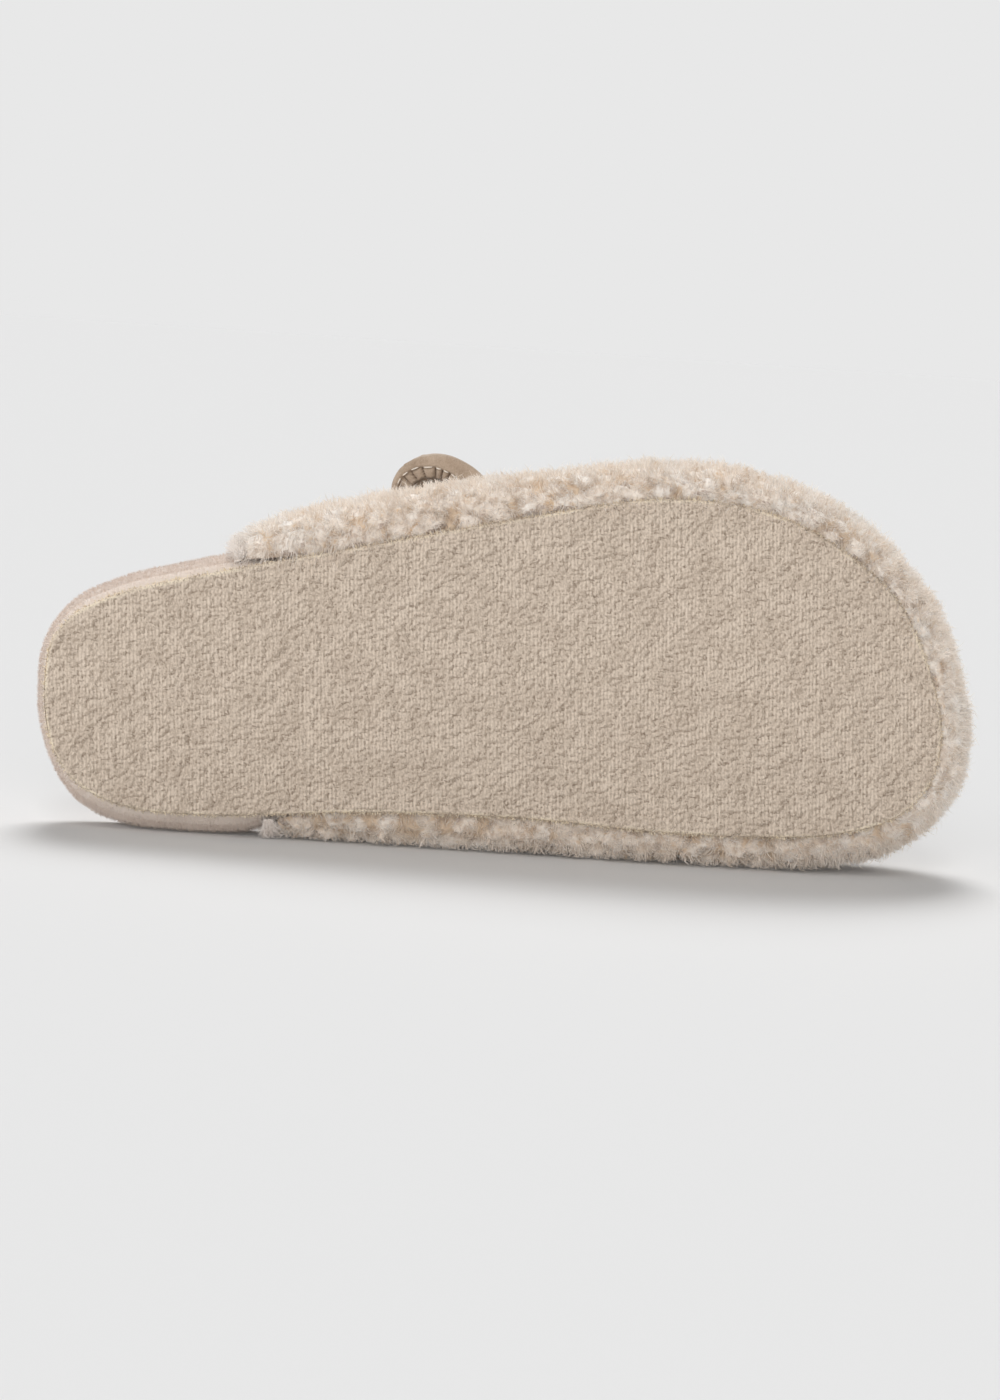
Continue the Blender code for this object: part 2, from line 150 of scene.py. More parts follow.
@dataclass
class ShoeAxes:
    """The lying slipper's own axes, set by how it lies and by the record's sole face."""

    turn_deg: float = 3.77
    lean_deg: float = 3.0
    sole_point: Triple = (0.110, -0.002, 0.0)
    turn: Array = field(init=False)
    euler: Euler = field(init=False)
    place: Array = field(init=False)

    def fix(self, record: dict) -> None:
        """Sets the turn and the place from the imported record.

        Args:
            record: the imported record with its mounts.
        """
        lean = Matrix.Rotation(-(pi / 2 + radians(self.lean_deg)), 3, "X")
        lying = lean @ Matrix.Rotation(-radians(self.turn_deg), 3, "Z")
        face = next(mount for mount in record["mounts"] if mount["name"] == "sole_face")
        self.turn = np.array(lying)
        self.euler = lying.to_euler()
        self.place = np.array(face["pos_m"]) - self.turn @ np.array(self.sole_point)

    def to_world(self, points: Array) -> Array:
        """Places in the frame from places in the slipper's axes."""
        return points @ self.turn.T + self.place

    def to_shoe(self, points: Array) -> Array:
        """Places in the slipper's axes from places in the frame."""
        return (points - self.place) @ self.turn

    def way_to_world(self, ways: Array) -> Array:
        """Directions in the frame from directions in the slipper's axes."""
        return ways @ self.turn.T

    def way_to_shoe(self, ways: Array) -> Array:
        """Directions in the slipper's axes from directions in the frame."""
        return ways @ self.turn


class Value:
    """A number that changes over a surface. Expressions on it add Math nodes."""

    def __init__(self, painter: "Painter", socket: bpy.types.NodeSocket) -> None:
        """Keeps the socket and the painter whose tree holds it."""
        self.painter = painter
        self.socket = socket

    def join(self, way: MathWay, first: "Value | float", second: "Value | float" = 0.0) -> "Value":
        """Adds one Math node that joins two values, and gives its result."""
        node = self.painter.node("ShaderNodeMath", {"operation": way.value}, {0: first, 1: second})
        return Value(self.painter, node.outputs[0])

    def __add__(self, other: "Value | float") -> "Value":
        """The sum."""
        return self.join(MathWay.ADD, self, other)

    def __radd__(self, other: float) -> "Value":
        """The sum with a number first."""
        return self.join(MathWay.ADD, other, self)

    def __sub__(self, other: "Value | float") -> "Value":
        """The difference."""
        return self.join(MathWay.SUBTRACT, self, other)

    def __rsub__(self, other: float) -> "Value":
        """The difference from a number."""
        return self.join(MathWay.SUBTRACT, other, self)

    def __mul__(self, other: "Value | float") -> "Value":
        """The product."""
        return self.join(MathWay.MULTIPLY, self, other)

    def __rmul__(self, other: float) -> "Value":
        """The product with a number first."""
        return self.join(MathWay.MULTIPLY, other, self)

    def sine(self) -> "Value":
        """The sine of the value as an angle."""
        return self.join(MathWay.SINE, self)

    def size(self) -> "Value":
        """The value without its sign."""
        return self.join(MathWay.SIZE, self)

    def step(self, low: float, high: float) -> "Value":
        """A smooth step.

        Args:
            low: value at which the step starts from 0.
            high: value at which it reaches 1.

        Returns:
            The step.
        """
        settings = {"interpolation_type": "SMOOTHSTEP"}
        sockets = {"Value": self, "From Min": low, "From Max": high}
        node = self.painter.node("ShaderNodeMapRange", settings, sockets)
        return Value(self.painter, node.outputs["Result"])


class Board:
    """A node tree that takes new nodes."""

    def __init__(self, tree: bpy.types.NodeTree) -> None:
        """Keeps the tree."""
        self.tree = tree

    def node(self, kind: str, settings: dict, sockets: dict) -> bpy.types.Node:
        """Adds a node.

        Args:
            kind: the node's type.
            settings: its own settings, set first.
            sockets: values or links of its input sockets.

        Returns:
            The node.
        """
        node = self.tree.nodes.new(kind)
        for name, setting in settings.items():
            setattr(node, name, setting)
        for key, value in sockets.items():
            self.feed(node.inputs[key], value)
        return node

    def feed(self, socket: bpy.types.NodeSocket, value: object) -> None:
        """Sets a socket's value, or links it.

        Args:
            socket: the input socket.
            value: a number, colour, vector, socket or Value.
        """
        if isinstance(value, Value):
            value = value.socket
        if isinstance(value, bpy.types.NodeSocket):
            self.tree.links.new(value, socket)
        elif isinstance(value, tuple) and socket.type == "RGBA":
            socket.default_value = (*value, 1.0)
        else:
            socket.default_value = value


class Painter(Board):
    """Builds one material's nodes around its Principled shader."""

    def __init__(self, name: str) -> None:
        """Makes the material.

        Args:
            name: the material's name.
        """
        self.material = bpy.data.materials.new(name)
        self.material.use_nodes = True
        super().__init__(self.material.node_tree)
        self.shader = self.tree.nodes["Principled BSDF"]

    def place(self, axes: ShoeAxes) -> bpy.types.NodeSocket:
        """The place on the surface in the slipper's axes.

        Args:
            axes: the slipper's axes.

        Returns:
            The place's socket.
        """
        source = self.node("ShaderNodeTexCoord", {}, {})
        sockets = {"Location": tuple(axes.place), "Rotation": tuple(axes.euler)}
        sockets["Vector"] = source.outputs["Object"]
        return self.node("ShaderNodeMapping", {"vector_type": "TEXTURE"}, sockets).outputs["Vector"]

    def along(self, place: bpy.types.NodeSocket, axis: Axis) -> Value:
        """One coordinate of a place."""
        return Value(self, self.node("ShaderNodeSeparateXYZ", {}, {0: place}).outputs[axis.value])

    def stretch(self, place: bpy.types.NodeSocket, factors: Triple) -> bpy.types.NodeSocket:
        """A place with each coordinate multiplied."""
        node = self.node("ShaderNodeVectorMath", {"operation": "MULTIPLY"}, {0: place, 1: factors})
        return node.outputs[0]

    def shift(self, place: bpy.types.NodeSocket, by: Triple) -> bpy.types.NodeSocket:
        """A place moved by a fixed step."""
        node = self.node("ShaderNodeVectorMath", {"operation": "ADD"}, {0: place, 1: by})
        return node.outputs[0]

    def speckle(self, place: bpy.types.NodeSocket, size: float, detail: float = 2.0) -> Value:
        """Noise of about 0 to 1 at a place, with swells of a size and so many finer layers."""
        sockets = {"Vector": place, "Scale": 1.0 / size, "Detail": detail}
        return Value(self, self.node("ShaderNodeTexNoise", {}, sockets).outputs[0])

    def drawn(self, name: str) -> Value:
        """A number that the mesh holds at its points."""
        return Value(self, self.node("ShaderNodeAttribute", {"attribute_name": name}, {}).outputs["Fac"])

    def blend(self, share: Value, first: object, second: object) -> bpy.types.NodeSocket:
        """A colour between two colours or colours' sockets, the first at 0 and the second at 1."""
        node = self.node("ShaderNodeMix", {"data_type": "RGBA"}, {"Factor": share, 6: first, 7: second})
        return node.outputs[2]

    def bump(
        self, height: Value, depth: float, strength: float, over: bpy.types.NodeSocket | None = None
    ) -> bpy.types.NodeSocket:
        """A bumped normal.

        Args:
            height: the relief, 0 to 1.
            depth: how deep the relief is.
            strength: how strongly it shows.
            over: the normal of a coarser relief under it.

        Returns:
            The normal's socket.
        """
        sockets = {"Strength": strength, "Distance": depth, "Height": height}
        if over:
            sockets["Normal"] = over
        return self.node("ShaderNodeBump", {}, sockets).outputs["Normal"]

    def finish(self, sockets: dict) -> bpy.types.Material:
        """Feeds the shader.

        Args:
            sockets: values or links of the shader's sockets.

        Returns:
            The material.
        """
        for name, value in sockets.items():
            self.feed(self.shader.inputs[name], value)
        return self.material


@dataclass(frozen=True)
class KnitFinish:
    """Brushed knit: fine ribs over soft nubs, with painted shade where these fall to the toe and the inner
    side.
    """

    yarn: Colour = tone(229, 213, 196)
    shaded: Colour = tone(181, 164, 147)
    # Painted shade: the dark tone put on the nubs' falling sides and in thin lines round their feet.
    crease: Colour = tone(111, 94, 77)
    cream: Colour = tone(244, 230, 206)
    rib_pitch: float = 0.00102
    wander_size: float = 0.004
    wander_turn: float = 4.0
    patch_size: float = 0.009
    patch_steps: Span = (0.35, 0.65)
    dash_size: float = 0.0007
    dash_stretch: Triple = (1.0, 0.7, 1.0)
    fuzz_size: float = 0.0005
    fuzz_stretch: Triple = (1.0, 0.75, 1.0)
    hair_size: float = 0.0004
    hair_stretch: Triple = (1.0, 0.4, 1.0)
    nub_size: float = 0.0030
    small_nub_size: float = 0.0012
    nub_stretch: Triple = (0.9, 1.05, 1.0)
    nub_steps: Span = (0.3, 0.7)
    nub_shift: Triple = (0.0005, 0.0004, 0.0)
    nub_depth: float = 0.0005
    shade_steps: Span = (0.02, 0.2)
    yarn_steps: Span = (0.24, 0.74)
    crease_shade_steps: Span = (0.1, 0.4)
    fray_steps: Span = (0.34, 0.56)
    line_level: float = 0.47
    line_width: float = 0.05
    loop_depth: float = 0.00025

    def material(self, axes: ShoeAxes) -> bpy.types.Material:
        """Makes the material.

        Args:
            axes: the slipper's axes, which the ribs follow.

        Returns:
            The material.
        """
        paint = Painter("tan_knit")
        place = paint.place(axes)
        wander = paint.speckle(place, self.wander_size, 1.0) * self.wander_turn
        shown = paint.speckle(place, self.patch_size, 1.0).step(*self.patch_steps)
        rib = (paint.along(place, Axis.X) * (tau / self.rib_pitch) + wander).sine() * 0.5 + 0.5
        dash = paint.speckle(paint.stretch(place, self.dash_stretch), self.dash_size, 0.0)
        fuzz = paint.speckle(paint.stretch(place, self.fuzz_stretch), self.fuzz_size, 1.0)
        hair = paint.speckle(paint.stretch(place, self.hair_stretch), self.hair_size, 1.0)
        weave = rib * (dash * 0.26 + 0.04) * (shown * 0.7 + 0.3) + fuzz * 0.46 + hair * 0.42
        # The nubs are read twice, a step apart. Where they fall towards the toe and the inner side, the
        # colour is painted darker, as painted shade from a light above.
        nub, near = self.nubs(paint, place)
        lower, _ = self.nubs(paint, paint.shift(place, self.nub_shift))
        shade = (nub - lower).step(*self.shade_steps)
        colour = paint.blend((weave - shade * 0.06).step(*self.yarn_steps), self.shaded, self.yarn)
        # Painted shade: darker on the nubs' falling sides, and darkest in the thin lines round their feet.
        crease_shading = shade * 0.2 + shade.step(*self.crease_shade_steps) * near * 0.5
        colour = paint.blend(crease_shading, colour, self.crease)
        frayed = paint.drawn("edge") * fuzz.step(*self.fray_steps) * (shown * 0.6 + 0.3)
        colour = paint.blend(frayed, colour, self.cream)
        nubs = paint.bump(nub, self.nub_depth, 0.6)
        return paint.finish(
            {
                "Base Color": colour,
                "Roughness": 0.95,
                "Specular IOR Level": 0.1,
                "Sheen Weight": 0.1,
                "Normal": paint.bump(weave, self.loop_depth, 0.8, nubs),
            }
        )

    def nubs(self, paint: Painter, place: bpy.types.NodeSocket) -> tuple[Value, Value]:
        """How high the brushed nubs stand at a place.

        Args:
            paint: the material's painter.
            place: where they are read.

        Returns:
            The height, about 0 to 1, and how near the place is to a thin line round a nub's foot.
        """
        wide = paint.stretch(place, self.nub_stretch)
        broad = paint.speckle(wide, self.nub_size, 1.0).step(*self.nub_steps)
        small = paint.speckle(wide, self.small_nub_size, 1.0)
        near = 1.0 - (small - self.line_level).size().step(0.0, self.line_width)
        return broad * 0.5 + small.step(*self.nub_steps) * 0.5, near


@dataclass(frozen=True)
class SherpaFinish:
    """Curly pile in pale pink-cream and white with tan patches, tan in its gaps (partly painted shade) and
    painted shade by sole and floor.
    """

    name: str = "cream_sherpa"
    tuft: Colour = tone(255, 246, 236)
    white: Colour = tone(255, 250, 244)
    tan: Colour = tone(228, 199, 164)
    # Tan of the gaps between tufts and of the fibres' roots: partly the pile's own tone and partly painted
    # shade in these recesses.
    gap: Colour = tone(236, 215, 190)
    strand: Colour = tone(194, 169, 144)
    # Painted shade: a tan tint beside the sole's edge and low down near the floor.
    shade_tan: Colour = tone(228, 203, 175)
    floor_shade_heights: Span = (0.005, 0.026)
    floor_shade_share: float = 0.14
    white_steps: Span = (0.5, 0.9)
    gap_steps: Span = (0.0, 0.45)
    patch_size: float = 0.0042
    patch_steps: Span = (0.58, 0.76)
    patch_tops: Span = (0.2, 0.7)
    curl_size: float = 0.0016
    curl_steps: Span = (0.35, 0.65)
    foot_shade_share: float = 0.25
    speck_size: float = 0.0009
    speck_steps: Span = (0.48, 0.68)
    speck_share: float = 0.16
    tangle_size: float = 0.0032
    tangle_steps: Span = (0.52, 0.62)
    tangle_share: float = 0.05
    tangle_foot: float = 0.4
    lock_steps: Span = (0.52, 0.9)
    lock_share: float = 0.3
    hair_size: float = 0.0005
    bump_depth: float = 0.0004

    def material(self, axes: ShoeAxes) -> bpy.types.Material:
        """Makes the material.

        Args:
            axes: the slipper's axes.

        Returns:
            The material.
        """
        paint = Painter(self.name)
        place = paint.place(axes)
        patch = paint.speckle(place, self.patch_size, 2.0)
        curl = paint.speckle(place, self.curl_size, 2.0)
        hair = paint.speckle(place, self.hair_size, 2.0)
        speck = paint.speckle(place, self.speck_size, 1.0).step(*self.speck_steps)
        foot = paint.drawn("foot")
        top = paint.drawn("tip") + (curl - 0.5) * 0.7 + (hair - 0.5) * 0.4
        paleness = paint.drawn("own") * 0.6 + curl * 0.5
        colour = paint.blend(paleness.step(*self.white_steps), self.tuft, self.white)
        tanned = patch.step(*self.patch_steps) * (1.2 - top).step(*self.patch_tops)
        colour = paint.blend(tanned, colour, self.tan)
        # Gaps between tufts and the fibres' roots take the tan gap tone. This is partly the pile's own
        # tone and partly painted shade in the recesses.
        colour = paint.blend(top.step(*self.gap_steps), self.gap, colour)
        # Painted shade: a tan tint beside the sole's edge, broken up by the curls.
        colour = paint.blend(foot * curl.step(*self.curl_steps) * self.foot_shade_share, colour, self.shade_tan)
        # Dark strands at random, and many more beside the sole's edge, where they are partly painted
        # shade.
        tangle = paint.speckle(place, self.tangle_size, 2.0).step(*self.tangle_steps)
        tangle = tangle * (foot * self.tangle_foot + self.tangle_share)
        colour = paint.blend(tangle, colour, self.strand)
        lock = paint.drawn("strand").step(*self.lock_steps) * self.lock_share
        colour = paint.blend(lock, colour, self.strand)
        # Painted shade: a tan tint low down, near the floor.
        height = paint.along(paint.node("ShaderNodeTexCoord", {}, {}).outputs["Object"], Axis.Z)
        low = 1.0 - height.step(*self.floor_shade_heights)
        colour = paint.blend(speck * self.speck_share, colour, self.strand)
        colour = paint.blend(low * self.floor_shade_share, colour, self.shade_tan)
        return paint.finish(
            {
                "Base Color": colour,
                "Roughness": 1.0,
                "Specular IOR Level": 0.05,
                "Sheen Weight": 0.9,
                "Normal": paint.bump(curl * 0.5 + hair * 0.5, self.bump_depth, 0.4),
            }
        )


@dataclass(frozen=True)
class FleeceFinish:
    """Short plain fleece for a lining."""

    name: str
    light: Colour
    dark: Colour
    curl_size: float = 0.0028
    nap_size: float = 0.00056
    light_steps: Span = (0.3, 0.7)
    bump_depth: float = 0.0012

    def material(self, axes: ShoeAxes) -> bpy.types.Material:
        """Makes the material.

        Args:
            axes: the slipper's axes.

        Returns:
            The material.
        """
        paint = Painter(self.name)
        place = paint.place(axes)
        curl = paint.speckle(place, self.curl_size, 4.0)
        nap = paint.speckle(place, self.nap_size, 2.0)
        relief = curl * 0.7 + nap * 0.3
        colour = paint.blend(relief.step(*self.light_steps), self.dark, self.light)
        normal = paint.bump(relief, self.bump_depth, 0.8)
        return paint.finish(
            {"Base Color": colour, "Roughness": 1.0, "Specular IOR Level": 0.05, "Normal": normal}
        )


@dataclass(frozen=True)
class BrushedFinish:
    """Pale brushed fabric with a short nap, faint lengthwise streaks and soft mottling."""

    name: str
    light: Colour = tone(231, 217, 206)
    dark: Colour = tone(216, 200, 188)
    pale: Colour = tone(241, 229, 219)
    nap_size: float = 0.0004
    nap_depth: float = 0.00025
    streak_size: float = 0.0022
    streak_stretch: Triple = (0.3, 0.3, 1.5)
    cloud_size: float = 0.012
    light_steps: Span = (0.35, 0.85)

    def material(self, axes: ShoeAxes) -> bpy.types.Material:
        """Makes the material.

        Args:
            axes: the slipper's axes.

        Returns:
            The material.
        """
        paint = Painter(self.name)
        place = paint.place(axes)
        nap = paint.speckle(place, self.nap_size, 2.0)
        streak = paint.speckle(paint.stretch(place, self.streak_stretch), self.streak_size, 2.0)
        cloud = paint.speckle(place, self.cloud_size, 2.0)
        light = (nap * 0.3 + streak * 0.4 + cloud * 0.5).step(*self.light_steps)
        normal = paint.bump(nap * 0.5 + streak * 0.5, self.nap_depth, 0.5)
        colour = paint.blend(light, self.dark, self.light)
        # The mesh's "strip" number makes the band paler low down. It is lowered at the crease as painted
        # shade.
        return paint.finish(
            {
                "Base Color": paint.blend(paint.drawn("strip") * (nap * 0.5 + 0.5), colour, self.pale),
                "Roughness": 0.95,
                "Specular IOR Level": 0.1,
                "Sheen Weight": 0.25,
                "Normal": normal,
            }
        )


@dataclass(frozen=True)
class SuedeFinish:
    """Taupe suede: fine nap, soft clouds where the nap lies differently, painted shade in the folds."""

    light: Colour = tone(203, 184, 165)
    dark: Colour = tone(171, 151, 132)
    # Painted shade: the dark tone put in the rim's groove, the pleats' gaps, the hollow and along the
    # seam.
    fold: Colour = tone(92, 76, 62)
    nap_size: float = 0.0004
    nap_depth: float = 0.0003
    cloud_size: float = 0.005
    light_steps: Span = (0.35, 0.85)
    fold_shade_share: float = 0.9

    def material(self, axes: ShoeAxes) -> bpy.types.Material:
        """Makes the material.

        Args:
            axes: the slipper's axes.

        Returns:
            The material.
        """
        paint = Painter("taupe_suede")
        place = paint.place(axes)
        nap = paint.speckle(place, self.nap_size, 4.0)
        cloud = paint.speckle(place, self.cloud_size, 3.0)
        light = (nap * 0.5 + cloud * 0.7).step(*self.light_steps)
        colour = paint.blend(light, self.dark, self.light)
        # The mesh's "fold" number says where painted shade goes.
        colour = paint.blend(paint.drawn("fold") * self.fold_shade_share, colour, self.fold)
        return paint.finish(
            {
                "Base Color": colour,
                "Roughness": 0.92,
                "Specular IOR Level": 0.15,
                "Sheen Weight": 0.2,
                "Normal": paint.bump(nap, self.nap_depth, 0.5),
            }
        )


@dataclass(frozen=True)
class ThreadFinish:
    """Pale twisted sewing thread."""

    light: Colour = tone(255, 250, 240)
    dark: Colour = tone(242, 230, 216)
    ply_size: float = 0.0004
    ply_depth: float = 0.0001

    def material(self, axes: ShoeAxes) -> bpy.types.Material:
        """Makes the material.

        Args:
            axes: the slipper's axes.

        Returns:
            The material.
        """
        paint = Painter("pale_thread")
        place = paint.place(axes)
        twist = paint.along(place, Axis.X) + paint.along(place, Axis.Y) + paint.along(place, Axis.Z)
        ply = (twist * (tau / self.ply_size)).sine() * 0.5 + 0.5
        fluff = paint.speckle(place, self.ply_size, 2.0)
        colour = paint.blend(ply * 0.7 + fluff * 0.3, self.dark, self.light)
        normal = paint.bump(ply, self.ply_depth, 0.5)
        return paint.finish({"Base Color": colour, "Roughness": 0.7, "Normal": normal})


def mesh_from(name: str, points: Array, faces: Array) -> bpy.types.Mesh:
    """A mesh from arrays.

    Args:
        name: the mesh's name.
        points: places in the frame.
        faces: the points of each face, all with as many corners.

    Returns:
        The mesh, shaded smooth.
    """
    mesh = bpy.data.meshes.new(name)
    mesh.vertices.add(len(points))
    mesh.vertices.foreach_set("co", np.ascontiguousarray(points, np.float32).ravel())
    mesh.loops.add(faces.size)
    mesh.loops.foreach_set("vertex_index", np.ascontiguousarray(faces, np.int32).ravel())
    mesh.polygons.add(len(faces))
    mesh.polygons.foreach_set("loop_start", np.arange(0, faces.size, faces.shape[1], dtype=np.int32))
    mesh.update(calc_edges=True)
    mesh.shade_smooth()
    return mesh


def hold(mesh: bpy.types.Mesh, name: str, values: Array) -> None:
    """Keeps a number at each point of a mesh, under a name that its material reads."""
    mesh.attributes.new(name, "FLOAT", "POINT").data.foreach_set("value", values.astype(np.float32))


def places_of(mesh: bpy.types.Mesh) -> Array:
    """The points of a mesh.

    Args:
        mesh: the mesh.

    Returns:
        The places, one a row.
    """
    found = np.empty(len(mesh.vertices) * 3, np.float32)
    mesh.vertices.foreach_get("co", found)
    return found.reshape(-1, 3).astype(float)


def normals_of(mesh: bpy.types.Mesh) -> Array:
    """The outward directions at the points of a mesh.

    Args:
        mesh: the mesh.

    Returns:
        The directions, one a row.
    """
    found = np.empty(len(mesh.vertices) * 3, np.float32)
    mesh.vertex_normals.foreach_get("vector", found)
    return found.reshape(-1, 3).astype(float)


def move_points(mesh: bpy.types.Mesh, points: Array) -> None:
    """Puts the points of a mesh in new places."""
    mesh.vertices.foreach_set("co", points.astype(np.float32).ravel())
    mesh.update()


def corners_of(mesh: bpy.types.Mesh) -> Array:
    """The three points of each triangle of a mesh.

    Args:
        mesh: the mesh.

    Returns:
        The points' numbers, one triangle a row.
    """
    mesh.calc_loop_triangles()
    found = np.empty(len(mesh.loop_triangles) * 3, np.int32)
    mesh.loop_triangles.foreach_get("vertices", found)
    return found.reshape(-1, 3)


def quads(first: Array, second: Array, third: Array, fourth: Array) -> list[Array]:
    """Two blocks of triangles that fill quads with these corners."""
    return [np.column_stack([first, second, third]), np.column_stack([first, third, fourth])]


def split_edges(
    mesh: bpy.types.Mesh, work: bmesh.types.BMesh, edges: list[bmesh.types.BMEdge], cuts: int
) -> None:
    """Divides some edges of a mesh and the faces between them.

    Args:
        mesh: the mesh, which takes the result.
        work: its open copy, which is freed.
        edges: the copy's edges that are divided.
        cuts: how many points each of them gains.
    """
    bmesh.ops.subdivide_edges(work, edges=edges, cuts=cuts, use_grid_fill=True)
    bmesh.ops.triangulate(work, faces=[face for face in work.faces if len(face.verts) > 4])
    work.to_mesh(mesh)
    work.free()
    mesh.shade_smooth()


def tree_of(places: Array) -> KDTree:
    """Sorts places so that the nearest is found fast.

    Args:
        places: the places, one a row.

    Returns:
        The tree, which numbers them by row.
    """
    tree = KDTree(len(places))
    for index, place in enumerate(places.tolist()):
        tree.insert(place, index)
    tree.balance()
    return tree


class Workshop:
    """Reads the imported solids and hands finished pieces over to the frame."""

    def __init__(self, frame: dict, axes: ShoeAxes) -> None:
        """Keeps the loaded frame's nodes and the slipper's axes."""
        self.nodes: dict[str, bpy.types.Object] = frame["nodes"]
        self.axes = axes

    def solid(self, name: str) -> bmesh.types.BMesh:
        """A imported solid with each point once.

        Args:
            name: the node's name.

        Returns:
            The solid, to be freed by the caller.
        """
        mesh = bmesh.new()
        mesh.from_mesh(self.nodes[name].data)
        bmesh.ops.remove_doubles(mesh, verts=mesh.verts, dist=MERGE_REACH)
        return mesh

    def points(self, name: str) -> Array:
        """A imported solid's points.

        Args:
            name: the node's name.

        Returns:
            The points in the slipper's axes, one a row.
        """
        mesh = self.solid(name)
        found = np.array([vertex.co for vertex in mesh.verts])
        mesh.free()
        return self.axes.to_shoe(found)

    def tree(self, name: str) -> BVHTree:
        """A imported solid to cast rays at.

        Args:
            name: the node's name.

        Returns:
            The solid's tree, in the frame.
        """
        mesh = self.solid(name)
        tree = BVHTree.FromBMesh(mesh)
        mesh.free()
        return tree

    def dense(self, name: str, levels: int) -> bpy.types.Mesh:
        """A smooth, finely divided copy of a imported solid.

        Args:
            name: the node's name.
            levels: how often its faces are divided.

        Returns:
            The new mesh, in the frame.
        """
        solid = self.solid(name)
        bmesh.ops.join_triangles(
            solid,
            faces=solid.faces,
            angle_face_threshold=radians(QUAD_FACE_DEG),
            angle_shape_threshold=radians(QUAD_SHAPE_DEG),
        )
        rough = bpy.data.meshes.new(name + "_rough")
        solid.to_mesh(rough)
        solid.free()
        holder = bpy.data.objects.new(name + "_rough", rough)
        bpy.context.scene.collection.objects.link(holder)
        divide = holder.modifiers.new("divide", "SUBSURF")
        divide.levels = divide.render_levels = levels
        made = holder.evaluated_get(bpy.context.evaluated_depsgraph_get())
        mesh = bpy.data.meshes.new_from_object(made)
        bpy.data.objects.remove(holder)
        bpy.data.meshes.remove(rough)
        mesh.shade_smooth()
        mesh.materials.clear()
        return mesh

    def piece(
        self,
        name: str,
        mesh: bpy.types.Mesh,
        finishes: list[bpy.types.Material],
        slot: Slot,
        stands_for: tuple[str, ...] = (),
    ) -> None:
        """Makes a piece of a mesh and hands it to the frame.

        Args:
            name: the piece's name.
            mesh: its mesh, in the frame.
            finishes: its materials, in the order of its faces' numbers.
            slot: the record's slot for its finish; not used.
            stands_for: the nodes that it replaces.
        """
        for finish in finishes:
            mesh.materials.append(finish)
        mesh.name = name
        made = bpy.data.objects.new(name, mesh)
        bpy.context.scene.collection.objects.link(made)
        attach(made, BODY)
        if stands_for:
            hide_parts(*stands_for)
        LOG.info("%s: %d triangles", name, len(corners_of(mesh)))


